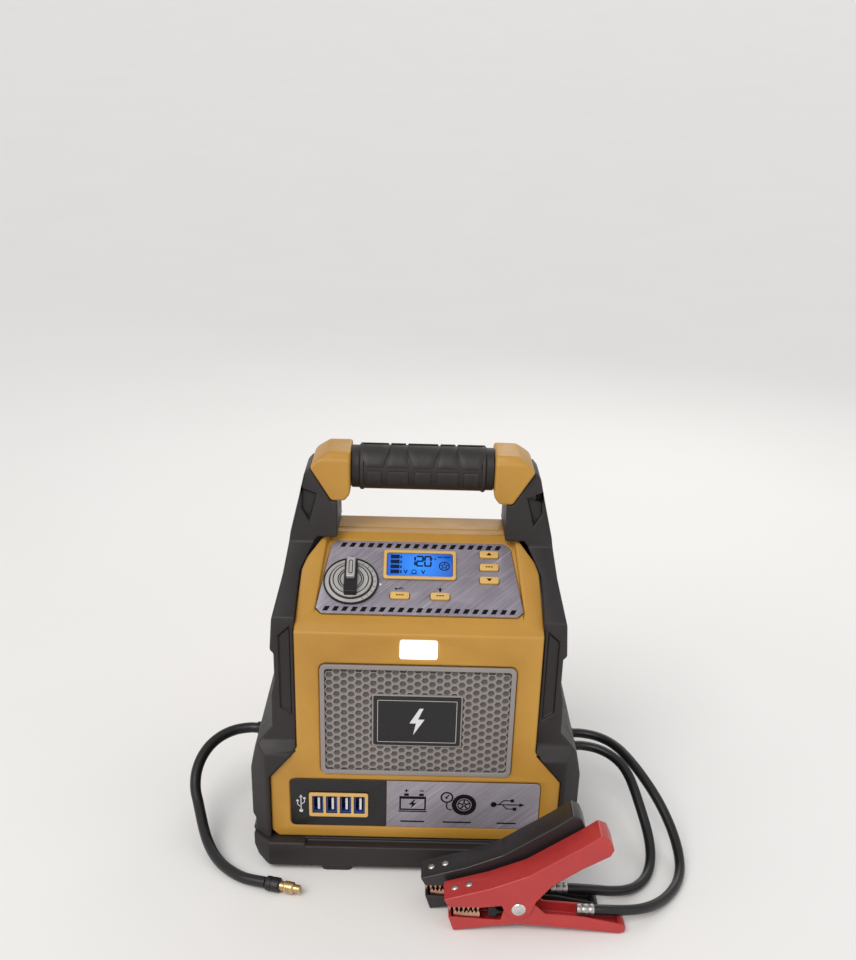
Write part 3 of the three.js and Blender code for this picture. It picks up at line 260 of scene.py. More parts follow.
@dataclass(frozen=True)
class Brushed:
    """Foil with long diagonal scratches in one plane."""

    name: str
    light: Colour
    dark: Colour
    along: tuple[float, float, float]
    across: tuple[float, float, float]

    def make(self) -> bpy.types.Material:
        """Builds the material."""
        r = Recipe(self.name)
        place = r.place()
        run, side = r.along(place, self.along), r.along(place, self.across)
        fine = r.noise(r.vector(run * 26.0, side * 1500.0), 1.0, 5.0, 0.75)
        broad = r.noise(r.vector(run * 14.0, side * 330.0), 1.0, 4.0, 0.7)
        cloud = r.noise(place, 16.0, 3.0)
        streak = r.span(fine * 0.55 + broad * 0.6 + cloud * 0.25, 0.42, 0.98)
        scratch = r.span(r.noise(r.vector(run * 9.0, side * 620.0, 3.0), 1.0, 2.0), 0.64, 0.72)
        shine = r.mix(scratch * 0.55, r.mix(streak, self.dark, self.light), (0.62, 0.6, 0.66))
        return r.finish(Base_Color=shine, Metallic=0.35,
                        Roughness=r.span(streak, 0.0, 1.0, 0.5, 0.34),
                        Normal=r.bump(fine + scratch * 0.5, 0.00004, 0.8))


@dataclass(frozen=True)
class Metal:
    """Plated or turned metal with hairline scratches and a stain in cloudy patches."""

    name: str
    colour: Colour
    stain: Colour
    roughness: float = 0.3

    def make(self) -> bpy.types.Material:
        """Builds the material."""
        r = Recipe(self.name)
        place = r.place()
        cloud = r.noise(place, 140.0, 4.0, 0.6)
        hair = r.noise(r.node("ShaderNodeVectorMath", {"operation": "MULTIPLY"},
                              {0: place, 1: (90.0, 1200.0, 2400.0)}), 1.0, 3.0, 0.6)
        base = r.mix(r.span(cloud, 0.4, 0.75), self.colour, self.stain)
        rough = r.span(hair * 0.6 + cloud * 0.4, 0.3, 0.7, self.roughness - 0.08,
                       self.roughness + 0.14)
        return r.finish(Base_Color=r.mix(r.edges() * 0.5, base, (0.8, 0.78, 0.74)), Metallic=1.0,
                        Roughness=rough, Normal=r.bump(hair, 0.00002, 0.6))


@dataclass(frozen=True)
class Lit:
    """A glowing face, brighter towards a middle point."""

    name: str
    middle: tuple[float, float, float]
    reach: float
    core: Colour
    rim: Colour
    strength: float
    roughness: float = 0.15

    def make(self) -> bpy.types.Material:
        """Builds the material."""
        r = Recipe(self.name)
        place = r.place()
        away = r.node("ShaderNodeVectorMath", {"operation": "DISTANCE"},
                      {0: place, 1: self.middle}, output="Value")
        grid = r.noise(place, 1600.0, 1.0)
        glow = r.span(away + grid * self.reach * 0.08, 0.0, self.reach)
        colour = r.mix(glow, self.core, self.rim)
        return r.finish(Base_Color=colour, Emission_Color=colour,
                        Emission_Strength=self.strength, Roughness=self.roughness,
                        Coat_Weight=0.6, Normal=r.bump(grid, 0.00001, 0.3))


@dataclass(frozen=True)
class Board:
    """Circuit board with tracks under its green mask."""

    name: str

    def make(self) -> bpy.types.Material:
        """Builds the material."""
        r = Recipe(self.name)
        place = r.place()
        tracks = r.node("ShaderNodeTexBrick", {}, {
            "Vector": place, "Color1": (0.01, 0.1, 0.04, 1.0), "Color2": (0.015, 0.13, 0.05, 1.0),
            "Mortar": (0.06, 0.3, 0.12, 1.0), "Scale": 120.0, "Mortar Size": 0.05})
        cloud = r.noise(place, 60.0)
        return r.finish(Base_Color=r.mix(cloud * 0.3, tracks, (0.01, 0.06, 0.03)),
                        Roughness=r.span(cloud, 0.2, 0.8, 0.25, 0.4),
                        Normal=r.bump(tracks, 0.00005, 0.5))


# ---------------------------------------------------------------- planes and shapes


@dataclass(frozen=True)
class Plane:
    """A flat frame of its own: u across, v up and w out of a face."""

    origin: tuple[float, float, float]
    u: tuple[float, float, float]
    v: tuple[float, float, float]

    def matrix(self) -> Matrix:
        """The matrix from this frame to the pack's."""
        u, v = Vector(self.u).normalized(), Vector(self.v).normalized()
        made = Matrix((u, v, u.cross(v))).transposed().to_4x4()
        made.translation = Vector(self.origin)
        return made

    def box(self, node: str) -> tuple[Vector, Vector]:
        """The lowest and highest u, v and w of a CAD node."""
        inverse = self.matrix().inverted()
        points = [inverse @ v.co for v in frame["nodes"][node].data.vertices]
        return (Vector([min(p[i] for p in points) for i in range(3)]),
                Vector([max(p[i] for p in points) for i in range(3)]))

    def at(self, u: float, v: float, w: float = 0.0) -> "Plane":
        """The same plane with its origin moved."""
        return Plane(tuple(self.matrix() @ Vector((u, v, w))), self.u, self.v)


SLOPE_RISE = math.radians(33.0)
FRONT = Plane((0.0, 0.0, 0.0), (1, 0, 0), (0, 0, 1))
REAR = Plane((0.0, 0.0, 0.0), (-1, 0, 0), (0, 0, 1))
SLOPE = Plane((0.0, -0.095, 0.226), (1, 0, 0), (0, math.cos(SLOPE_RISE), math.sin(SLOPE_RISE)))


def rounded(left: float, low: float, right: float, high: float, radius: float,
            steps: int = 6) -> list[tuple[float, float]]:
    """The outline of a rectangle with round corners."""
    corners = ((right - radius, low + radius, -90), (right - radius, high - radius, 0),
               (left + radius, high - radius, 90), (left + radius, low + radius, 180))
    return [(x + radius * math.cos(math.radians(start + 90 * i / steps)),
             y + radius * math.sin(math.radians(start + 90 * i / steps)))
            for x, y, start in corners for i in range(steps + 1)]


def circle(u: float, v: float, radius: float, count: int = 32) -> list[tuple[float, float]]:
    """The outline of a circle."""
    turns = [math.tau * i / count for i in range(count)]
    return [(u + radius * math.cos(turn), v + radius * math.sin(turn)) for turn in turns]


class Shape:
    """A mesh under construction in a plane's frame."""

    def __init__(self, plane: Plane = Plane((0, 0, 0), (1, 0, 0), (0, 1, 0))) -> None:
        """Starts an empty mesh."""
        self.bm = bmesh.new()
        self.matrix = plane.matrix()

    def loop(self, points: Iterable[Point]) -> list[bmesh.types.BMVert]:
        """New vertices at u, v, w points."""
        return [self.bm.verts.new(self.matrix @ Vector(p)) for p in points]

    def bridge(self, first: list, second: list, closed: bool = True) -> None:
        """Quads between two rows of as many vertices."""
        count = len(first)
        for i in range(count if closed else count - 1):
            j = (i + 1) % count
            self.bm.faces.new((first[i], first[j], second[j], second[i]))

    def slab(self, outline: Sequence[Point], low: float, high: float) -> "Shape":
        """An outline extruded from w = low to high."""
        bottom = self.loop((*p, low) for p in outline)
        top = self.loop((*p, high) for p in outline)
        self.bridge(bottom, top)
        self.bm.faces.new(bottom[::-1])
        self.bm.faces.new(top)
        return self

    def band(self, outer: Sequence[Point], inner: Sequence[Point], low: float,
             high: float) -> "Shape":
        """A closed strip between two outlines with as many points."""
        rows = [self.loop((*p, w) for p in outline)
                for outline, w in ((outer, low), (outer, high), (inner, high), (inner, low))]
        for first, second in zip(rows, rows[1:] + rows[:1]):
            self.bridge(first, second)
        return self

    def ring(self, u: float, v: float, outer: float, inner: float, low: float, high: float,
             count: int = 32) -> "Shape":
        """A round strip."""
        return self.band(circle(u, v, outer, count), circle(u, v, inner, count), low, high)

    def stroke(self, points: Sequence[Point], width: float, low: float, high: float) -> "Shape":
        """A line of even width through points, one slab for each stretch."""
        for (x0, y0), (x1, y1) in zip(points, points[1:]):
            reach = math.hypot(x1 - x0, y1 - y0)
            dx, dy = (y0 - y1) / reach * width / 2, (x1 - x0) / reach * width / 2
            self.slab([(x0 - dx, y0 - dy), (x1 - dx, y1 - dy), (x1 + dx, y1 + dy),
                       (x0 + dx, y0 + dy)], low, high)
        return self

    def turned(self, profile: Sequence[Point], count: int = 48,
               wave: Callable[[float], float] | None = None) -> "Shape":
        """A profile of radius and w turned about the w axis, which is closed at its ends.

        Args:
            profile: points of radius and height.
            count: how many steps the turn has.
            wave: a factor on the radius for each angle, for knurls and ribs.

        Returns:
            This shape.
        """
        rows = []
        turns = [math.tau * i / count for i in range(count)]
        factors = [wave(turn) if wave else 1.0 for turn in turns]
        for radius, w in profile:
            rows.append(self.loop(
                (radius * factor * math.cos(turn), radius * factor * math.sin(turn), w)
                for turn, factor in zip(turns, factors)))
        for first, second in zip(rows, rows[1:]):
            self.bridge(first, second)
        if tuple(profile[0]) != tuple(profile[-1]):
            self.bm.faces.new(rows[0][::-1])
            self.bm.faces.new(rows[-1])
        else:
            bmesh.ops.remove_doubles(self.bm, verts=rows[0] + rows[-1], dist=1e-7)
        return self

    def tube(self, points: Sequence[Point], radius: float, count: int = 10) -> "Shape":
        """A round wire through points."""
        path = [Vector(p) for p in points]
        side = Vector((0.0, 0.0, 1.0))
        rows = []
        for i, point in enumerate(path):
            ahead = (path[min(i + 1, len(path) - 1)] - path[max(i - 1, 0)]).normalized()
            side = (side - ahead * side.dot(ahead)).normalized()
            other = ahead.cross(side)
            rows.append(self.loop(
                point + (side * math.cos(math.tau * k / count)
                         + other * math.sin(math.tau * k / count)) * radius for k in range(count)))
        for first, second in zip(rows, rows[1:]):
            self.bridge(first, second)
        self.bm.faces.new(rows[0][::-1])
        self.bm.faces.new(rows[-1])
        return self

    def done(self, name: str, body: str, slot: str, bevel: float = 0.0,
             segments: int = 3, limit: float = 38.0) -> bpy.types.Object:
        """Turns the shape into a piece that rides on a body.

        Args:
            name: the piece's name.
            body: the frame's body it rides on.
            slot: the material slot whose finish it has.
            bevel: the width of its rounded edges.
            segments: how many facets a rounded edge has.
            limit: the smallest angle in degrees that is rounded.

        Returns:
            The piece.
        """
        bmesh.ops.recalc_face_normals(self.bm, faces=self.bm.faces)
        mesh = bpy.data.meshes.new(name)
        self.bm.to_mesh(mesh)
        self.bm.free()
        piece = bpy.data.objects.new(name, mesh)
        bpy.context.scene.collection.objects.link(piece)
        smoothed(mesh, 180.0 if bevel else 35.0)
        if bevel:
            round_edges(piece, bevel, segments, "ANGLE", limit)
        return dressed(piece, body, slot)


def smoothed(mesh: bpy.types.Mesh, angle: float) -> None:
    """Smooth shading but for edges sharper than an angle in degrees."""
    mesh.polygons.foreach_set("use_smooth", [True] * len(mesh.polygons))
    if angle < 180.0:
        mesh.set_sharp_from_angle(angle=math.radians(angle))


def round_edges(piece: bpy.types.Object, width: float, segments: int, method: str,
                limit: float = 30.0) -> None:
    """Adds the modifier that rounds a piece's edges."""
    modifier = piece.modifiers.new("rounding", "BEVEL")
    modifier.width, modifier.segments = width, segments
    modifier.limit_method = method
    modifier.angle_limit = math.radians(limit)
    modifier.harden_normals = True
    modifier.use_clamp_overlap = False
    modifier.miter_outer = "MITER_SHARP"


def dressed(piece: bpy.types.Object, body: str, slot: str) -> bpy.types.Object:
    """Gives a piece the finish of its slot and the body it rides on."""
    piece.data.materials.clear()
    piece.data.materials.append(FINISHES[slot])
    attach(piece, body)
    LOG.info("%s on %s in %s", piece.name, body, slot)
    return piece


def softened(node: str, width: float, segments: int = 3, sharp: float = 31.0,
             faint: float = 7.0) -> bpy.types.Object:
    """A copy of a CAD node with rounded edges, which stands for the node.

    Args:
        node: the CAD node.
        width: the width of the rounded edges.
        segments: how many facets a rounded edge has.
        sharp: edges that turn more degrees than this are always rounded.
        faint: edges that turn more than this are rounded where both faces are broad.

    Returns:
        The piece.
    """
    source = frame["nodes"][node]
    bm = bmesh.new()
    bm.from_mesh(source.data)
    bmesh.ops.remove_doubles(bm, verts=bm.verts, dist=0.00002)
    bmesh.ops.dissolve_limit(bm, angle_limit=math.radians(1.0), verts=bm.verts, edges=bm.edges)
    layer = bm.edges.layers.float.new("bevel_weight_edge")
    for edge in bm.edges:
        if len(edge.link_faces) != 2:
            continue
        turn = math.degrees(edge.calc_face_angle(0.0))
        breadth = min(face.calc_area() for face in edge.link_faces) / max(edge.calc_length(), 1e-6)
        if turn > sharp or (turn > faint and breadth > 2.5 * width):
            edge[layer] = 1.0
    mesh = bpy.data.meshes.new(node + "_look")
    bm.to_mesh(mesh)
    bm.free()
    piece = bpy.data.objects.new(node + "_look", mesh)
    bpy.context.scene.collection.objects.link(piece)
    smoothed(mesh, 180.0)
    round_edges(piece, width, segments, "WEIGHT")
    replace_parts(piece, node)
    return dressed(piece, source["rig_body"], SLOTS[node])


# ---------------------------------------------------------------- finishes


SLOTS = {row["node"]: row["material_slot"] for row in frame["record"]["subparts"]}
PANEL_RUN = (0.72, 0.58, 0.38)
PANEL_SIDE = (-0.69, 0.61, 0.39)
LABEL_RUN = (0.75, 0.0, 0.66)
LABEL_SIDE = (-0.66, 0.0, 0.75)
SCREEN_LOW, SCREEN_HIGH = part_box("lcd_window")
LAMP_LOW, LAMP_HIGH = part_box("led_lens")


def finishes() -> dict[str, bpy.types.Material]:
    """Every finish, by the material slot it belongs to."""
    table = {
        "yellow_plastic": Moulded("yellow_moulding", (0.50, 0.265, 0.036), (0.40, 0.195, 0.026),
                                  (0.64, 0.40, 0.11), 0.42, 1100.0, 0.00005, 0.35),
        "black_plastic": Moulded("guard_moulding", (0.024, 0.019, 0.020), (0.015, 0.012, 0.013),
                                 (0.07, 0.06, 0.06), 0.5, 800.0, 0.00008, 0.4, gloss=0.4),
        "grip_rubber": Moulded("grip_moulding", (0.023, 0.018, 0.018), (0.014, 0.011, 0.011),
                               (0.07, 0.06, 0.06), 0.52, 700.0, 0.00008, 0.4, gloss=0.45),
        "cable_rubber": Moulded("cable_sheath", (0.012, 0.011, 0.012), (0.007, 0.006, 0.007),
                                (0.03, 0.03, 0.03), 0.33, 420.0, 0.00002, 0.2, gloss=0.45),
        "brushed_panel": Brushed("brushed_foil", (0.42, 0.385, 0.45), (0.13, 0.115, 0.145),
                                 PANEL_RUN, PANEL_SIDE),
        "cream_plastic": Moulded("cream_moulding", (0.70, 0.45, 0.14), (0.58, 0.34, 0.09),
                                 (0.82, 0.62, 0.30), 0.4, 1300.0, 0.00003, 0.4),
        "screen": Lit("lit_screen", tuple((SCREEN_LOW + SCREEN_HIGH) / 2), 0.034,
                      (0.012, 0.20, 0.74), (0.004, 0.05, 0.32), 0.6),
        "dial_black": Moulded("dial_moulding", (0.013, 0.011, 0.012), (0.008, 0.007, 0.008),
                              (0.04, 0.04, 0.04), 0.4, 1200.0, 0.00002, 0.3, gloss=0.35),
        "knob_silver": Moulded("silver_paint", (0.47, 0.455, 0.45), (0.38, 0.365, 0.36),
                               (0.66, 0.65, 0.63), 0.36, 1500.0, 0.00002, 0.4, 0.1, 0.35),
        "lamp_lens": Lit("lamp_glow", tuple((LAMP_LOW + LAMP_HIGH) / 2), 0.024,
                         (1.0, 0.99, 0.97), (0.86, 0.84, 0.80), 0.8, 0.3),
        "grille_metal": Moulded("grille_paint", (0.30, 0.272, 0.262), (0.235, 0.213, 0.206),
                                (0.42, 0.40, 0.38), 0.45, 1500.0, 0.00003, 0.5, 0.0, 0.2),
        "badge_black": Moulded("badge_gloss", (0.009, 0.008, 0.009), (0.013, 0.012, 0.013),
                               (0.03, 0.03, 0.03), 0.28, 1700.0, 0.00001, 0.2, gloss=0.4),
        "port_blue": Moulded("port_moulding", (0.018, 0.055, 0.27), (0.012, 0.036, 0.19),
                             (0.06, 0.13, 0.42), 0.35, 1500.0, 0.00002, 0.4),
        "circuit_board": Board("board_mask"),
        "inner_metal": Metal("plain_steel", (0.42, 0.41, 0.40), (0.28, 0.27, 0.26), 0.4),
        "clamp_red": Moulded("red_dip", (0.47, 0.034, 0.032), (0.36, 0.022, 0.022),
                             (0.58, 0.09, 0.08), 0.33, 900.0, 0.00002, 0.15, 0.2),
        "clamp_black": Moulded("black_dip", (0.020, 0.018, 0.019), (0.012, 0.011, 0.012),
                               (0.05, 0.05, 0.05), 0.35, 900.0, 0.00002, 0.15, 0.1),
        "rivet_steel": Metal("bright_rivet", (0.72, 0.71, 0.70), (0.5, 0.49, 0.48), 0.24),
        "jaw_copper": Metal("copper_plate", (0.66, 0.33, 0.21), (0.40, 0.18, 0.11), 0.28),
        "brass_tip": Metal("turned_brass", (0.62, 0.43, 0.18), (0.42, 0.27, 0.1), 0.26),
    }
    return {slot: finish.make() for slot, finish in table.items()}


class Extra(Enum):
    """Finishes that no whole CAD node has."""

    LABEL = Brushed("label_foil", (0.44, 0.405, 0.46), (0.17, 0.155, 0.185), LABEL_RUN,
                    LABEL_SIDE)
    TONGUE = Moulded("tongue_moulding", (0.72, 0.72, 0.74), (0.55, 0.55, 0.58),
                     (0.9, 0.9, 0.9), 0.35, 1500.0, 0.00001, 0.2)
    INK = Moulded("flat_ink", (0.0045, 0.004, 0.0045), (0.007, 0.006, 0.007),
                  (0.01, 0.01, 0.01), 0.7, 1500.0, 0.000004, 0.0, gloss=0.1)
    SEGMENT = Moulded("segment_ink", (0.003, 0.012, 0.055), (0.005, 0.018, 0.075),
                      (0.01, 0.03, 0.1), 0.6, 1500.0, 0.000004, 0.0, gloss=0.1)
    # painted shade: a dark brownish grey that stands in for the shade in the grille's recess,
    # behind its holes and along its edge
    RECESS_SHADE = Moulded("painted_recess_shade", (0.125, 0.11, 0.106), (0.09, 0.08, 0.077),
                     (0.1, 0.1, 0.1), 0.6, 1500.0, 0.00002, 0.0, gloss=0.3)


FINISHES = finishes()
EXTRAS = {extra: extra.value.make() for extra in Extra}


def repaint(piece: bpy.types.Object, extra: Extra) -> bpy.types.Object:
    """Gives a piece a finish of its own in place of its slot's."""
    piece.data.materials.clear()
    piece.data.materials.append(EXTRAS[extra])
    return piece


# ---------------------------------------------------------------- camera, floor and light


@dataclass
class Studio:
    """The pale floor, the soft lamps and the camera."""

    elevation: float = 27.0
    distance: float = 1.0
    lens: float = 44.05
    roll: float = -1.49
    shift: float = 0.206
    target: tuple[float, float, float] = (-0.0032, -0.06, 0.17)
    floor_radius: float = 24.0

    def camera(self) -> None:
        """Puts the camera in front of the pack, above it and looking down."""
        tilt = math.radians(self.elevation)
        data = bpy.data.cameras.new("view")
        data.sensor_fit, data.sensor_width, data.lens = "AUTO", 36.0, self.lens
        data.shift_y = self.shift
        camera = bpy.data.objects.new("view", data)
        camera.location = Vector(self.target) + self.distance * Vector(
            (0.0, -math.cos(tilt), math.sin(tilt)))
        camera.rotation_euler = (math.pi / 2 - tilt, math.radians(self.roll), 0.0)
        bpy.context.scene.collection.objects.link(camera)
        bpy.context.scene.camera = camera

    def floor(self) -> None:
        """A pale floor with a faint mottle, which rises slowly far from the pack."""
        shape = Shape()
        rings = []
        for i in range(25):
            radius = 0.2 + (self.floor_radius - 0.2) * (i / 24) ** 2
            height = 0.012 * max(0.0, radius - 2.0) ** 2
            rings.append(shape.loop((x, y, height) for x, y in circle(0.0, 0.0, radius, 64)))
        shape.bm.faces.new(rings[0])
        for first, second in zip(rings, rings[1:]):
            shape.bridge(first, second)
        bmesh.ops.recalc_face_normals(shape.bm, faces=shape.bm.faces)
        mesh = bpy.data.meshes.new("floor")
        shape.bm.to_mesh(mesh)
        shape.bm.free()
        smoothed(mesh, 180.0)
        piece = bpy.data.objects.new("floor", mesh)
        bpy.context.scene.collection.objects.link(piece)
        r = Recipe("floor_paint")
        cloud = r.noise(r.place(), 3.0)
        mesh.materials.append(r.finish(
            Base_Color=r.mix(cloud, (0.80, 0.79, 0.775), (0.83, 0.82, 0.81)), Roughness=0.8,
            Specular_IOR_Level=0.2))

    def lamp(self, name: str, place: Point, aim: Point, size: float, power: float,
             colour: Colour) -> None:
        """A square soft lamp aimed at a point."""
        data = bpy.data.lights.new(name, "AREA")
        data.shape, data.size, data.energy, data.color = "SQUARE", size, power, colour
        lamp = bpy.data.objects.new(name, data)
        lamp.location = place
        lamp.rotation_euler = (Vector(aim) - Vector(place)).to_track_quat("-Z", "Y").to_euler()
        bpy.context.scene.collection.objects.link(lamp)

    def lights(self) -> None:
        """A broad sun before and above the front, a lamp at each side and a pale sky."""
        data = bpy.data.lights.new("key", "SUN")
        data.energy, data.angle, data.color = 1.5, math.radians(35.0), (1.0, 0.97, 0.93)
        key = bpy.data.objects.new("key", data)
        key.rotation_euler = Vector((0.42, 0.85, -1.0)).to_track_quat("-Z", "Y").to_euler()
        bpy.context.scene.collection.objects.link(key)
        self.lamp("side", (-0.9, -0.9, 0.9), (0, 0, 0.15), 0.9, 3.2, (1.0, 0.97, 0.93))
        self.lamp("fill", (1.2, -0.9, 0.8), (0, 0, 0.15), 1.2, 2.5, (0.95, 0.97, 1.0))
        self.lamp("rim", (0.4, 1.3, 1.2), (0, 0, 0.2), 1.0, 5.0, (1.0, 0.98, 0.95))
        world = bpy.data.worlds.new("sky")
        world.use_nodes = True
        sky = world.node_tree.nodes["Background"]
        sky.inputs["Color"].default_value = (0.97, 0.98, 1.0, 1.0)
        sky.inputs["Strength"].default_value = 0.55
        bpy.context.scene.world = world
        bpy.context.scene.view_settings.view_transform = "Standard"

    def build(self) -> None:
        """Makes the whole studio."""
        self.camera()
        self.floor()
        self.lights()


# ---------------------------------------------------------------- cords


@dataclass
class Cord:
    """A cable or hose on a smooth route from its gland to what it carries."""

    name: str
    route: list[tuple[float, float, float]]
    diameter: float
    far_end: str
    length: float = 0.0

    def points(self) -> list[Vector]:
        """The route in metres."""
        return [Vector(p) * MM for p in self.route]

    def tangents(self, points: list[Vector]) -> list[tuple[Vector, Vector]]:
        """How each stretch starts and ends, for a centripetal curve through the points."""
        padded = [2 * points[0] - points[1], *points, 2 * points[-1] - points[-2]]
        ends = []
        for before, first, second, after in zip(padded, padded[1:], padded[2:], padded[3:]):
            a, b, c = ((first - before).length ** 0.5, (second - first).length ** 0.5,
                       (after - second).length ** 0.5)
            start = ((first - before) / a - (second - before) / (a + b) + (second - first) / b) * b
            end = ((second - first) / b - (after - first) / (b + c) + (after - second) / c) * b
            ends.append((start, end))
        return ends

    def build(self) -> bpy.types.Object:
        """Makes the cord's curve, which stands for its CAD node."""
        points = self.points()
        ends = self.tangents(points)
        curve = bpy.data.curves.new(self.name + "_look", "CURVE")
        curve.dimensions, curve.resolution_u = "3D", 10
        curve.bevel_depth, curve.bevel_resolution = self.diameter / 2, 6
        curve.use_fill_caps = True
        spline = curve.splines.new("BEZIER")
        spline.bezier_points.add(len(points) - 1)
        for i, (knot, point) in enumerate(zip(spline.bezier_points, points)):
            arriving = ends[i - 1][1] if i else ends[0][0]
            leaving = ends[i][0] if i < len(ends) else ends[-1][1]
            knot.handle_left_type = knot.handle_right_type = "FREE"
            knot.co = point
            knot.handle_left = point - arriving / 3
            knot.handle_right = point + leaving / 3
        piece = bpy.data.objects.new(self.name + "_look", curve)
        bpy.context.scene.collection.objects.link(piece)
        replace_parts(piece, self.name)
        return dressed(piece, "pack", "cable_rubber")

    def declare(self, piece: bpy.types.Object, parts: list[bpy.types.Object]) -> None:
        """Does nothing with the cord's pieces: its length, thickness and what it carries are not
        passed on.
        """


POSITIVE = Cord("positive_cable", [
    (150.8, 38, 64), (157.8, 38, 64), (171.5, 35, 63.3), (183.7, 28.2, 61.7),
    (193.4, 18.4, 59.2), (200.8, 6.8, 56.1), (207.3, -5.2, 52.4), (213.4, -17.1, 48),
    (219.3, -28.8, 42.8), (224.7, -40.3, 36.9), (229.5, -51.8, 30.3), (233.4, -63.5, 23.5),
    (236.1, -75.6, 16.8), (237.1, -88.4, 11), (235.7, -101.8, 7), (231.6, -115.1, 5),
    (225.3, -127.7, 4.8), (217.4, -139.3, 5.4), (208.3, -149.9, 7), (198.1, -159.3, 9.6),
    (186.7, -166.9, 12.7), (173.9, -171.9, 15.4), (160.1, -174.1, 17), (146, -174, 17),
], 0.009, "connector", 0.317)
NEGATIVE = Cord("negative_cable", [
    (150.8, 14, 64), (157.8, 14, 64), (171.5, 11, 62.8), (183.7, 4.2, 60), (193, -5.6, 55.8),
    (198.9, -17.2, 50.3), (202.6, -29.4, 44), (205.7, -41.3, 37), (208.6, -53.1, 29.7),
    (211.1, -65.1, 22.4), (212.2, -77.5, 15.6), (211.2, -90.5, 10.1), (207.6, -103.7, 6.4),
    (201.2, -116.2, 5.1), (192.2, -127.1, 5.9), (181.1, -135.6, 8.4), (168.6, -141.4, 11.7),
    (155.2, -144.5, 14.8), (141.2, -145.8, 16.7), (127, -146, 17),
], 0.009, "connector", 0.2625)
HOSE = Cord("air_hose", [
    (-150.8, 22, 71), (-157.8, 22, 71), (-171, 19, 69.9), (-182.7, 12.4, 67.2),
    (-192.4, 2.8, 62.5), (-199.2, -8.8, 55.6), (-202.6, -21.3, 46.7), (-202, -33.6, 37),
    (-197.8, -45.6, 28.7), (-193.5, -58.2, 22.5), (-189, -70.6, 16.5), (-183.5, -83.1, 11.6),
    (-176.6, -95.2, 8), (-168, -106.6, 5.9), (-157.7, -116.7, 5.2), (-145.9, -125.1, 5.3),
    (-126, -133, 6.6),
], 0.010, "fitting", 0.2337)


@dataclass
class CordEnds:
    """The strain reliefs on the housing and the hose's own fitting."""

    rib_pitch: float = 0.0042
    rib_depth: float = 0.0006
    wall: float = 0.1244
    flange_radius: float = 0.0085
    flange_height: float = 0.0033
    neck_radius: float = 0.0066
    sleeve_skin: float = 0.0012

    def gland(self, node: str) -> bpy.types.Object:
        """A tapered strain relief with ribs round its cone."""
        low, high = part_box(node)
        side = 1.0 if high.x > 0 else -1.0
        inner, outer = (low.x, high.x) if side > 0 else (-high.x, -low.x)
        y, z = (low.y + high.y) / 2, (low.z + high.z) / 2
        plane = Plane((0.0, y, z), (0, side, 0), (0, 0, 1))
        if plane.matrix().col[2].x * side < 0:
            plane = Plane((0.0, y, z), (0, -side, 0), (0, 0, 1))
        wall, wide, neck = self.wall, self.flange_radius, self.neck_radius
        flange = wall + self.flange_height
        carried = HOSE if side < 0 else POSITIVE
        tip_radius = carried.diameter / 2 + self.sleeve_skin
        profile = [(wide, inner), (wide, wall - 0.0038), (neck, wall - 0.0038),
                   (neck, wall + 0.0003), (wide, wall + 0.0003), (wide, flange - 0.0008),
                   (wide - 0.0007, flange)]
        start = flange + 0.0012
        count = int((outer - start) / self.rib_pitch)
        for i in range(count):
            w = start + i * self.rib_pitch
            radius = 0.0070 + (tip_radius - 0.0070) * (w - start) / (outer - start)
            profile += [(radius, w), (radius, w + self.rib_pitch * 0.55),
                        (radius - self.rib_depth, w + self.rib_pitch * 0.65),
                        (radius - self.rib_depth, w + self.rib_pitch * 0.9)]
        profile += [(tip_radius, outer - 0.0012), (tip_radius - 0.0004, outer)]
        piece = Shape(plane).turned(profile, 32).done(node + "_look", "pack", "cable_rubber")
        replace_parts(piece, node)
        return piece

    def fitting(self) -> list[bpy.types.Object]:
        """The knurled collar and the brass tip at the hose's end."""
        end, before = HOSE.points()[-1], HOSE.points()[-2]
        turn = math.atan2(end.y - before.y, end.x - before.x) * 0.75
        ahead = (math.cos(turn), math.sin(turn), 0.0)
        across = (math.sin(turn), -math.cos(turn), 0.0)
        plane = Plane(tuple(end), across, (0, 0, 1))
        if plane.matrix().col[2].to_3d().dot(Vector(ahead)) < 0:
            plane = Plane(tuple(end), tuple(-c for c in across), (0, 0, 1))
        collar = Shape(plane).turned([
            (0.0054, 0.0006), (0.0062, 0.0008), (0.0065, 0.0020), (0.0065, 0.0050),
            (0.0060, 0.0054), (0.0060, 0.0062), (0.0065, 0.0066), (0.0065, 0.0120),
            (0.0056, 0.0132)], 64, lambda a: 1.0 + 0.012 * math.cos(16 * a)).done(
                "nozzle_collar_look", "pack", "cable_rubber")
        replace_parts(collar, "nozzle_collar")
        tip = Shape(plane).turned([
            (0.0042, 0.0133), (0.0042, 0.0168), (0.0050, 0.0174), (0.0052, 0.0182),
            (0.0052, 0.0196), (0.0049, 0.0199), (0.0052, 0.0202), (0.0052, 0.0216),
            (0.0049, 0.0219), (0.0052, 0.0222), (0.0052, 0.0246), (0.0047, 0.0254),
            (0.0036, 0.0260), (0.0036, 0.0310), (0.0033, 0.0315), (0.0022, 0.0315),
            (0.0020, 0.0306)], 40).done("nozzle_tip_look", "pack", "brass_tip")
        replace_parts(tip, "nozzle_tip")
        return [collar, tip]


# ---------------------------------------------------------------- housing, guards and handle


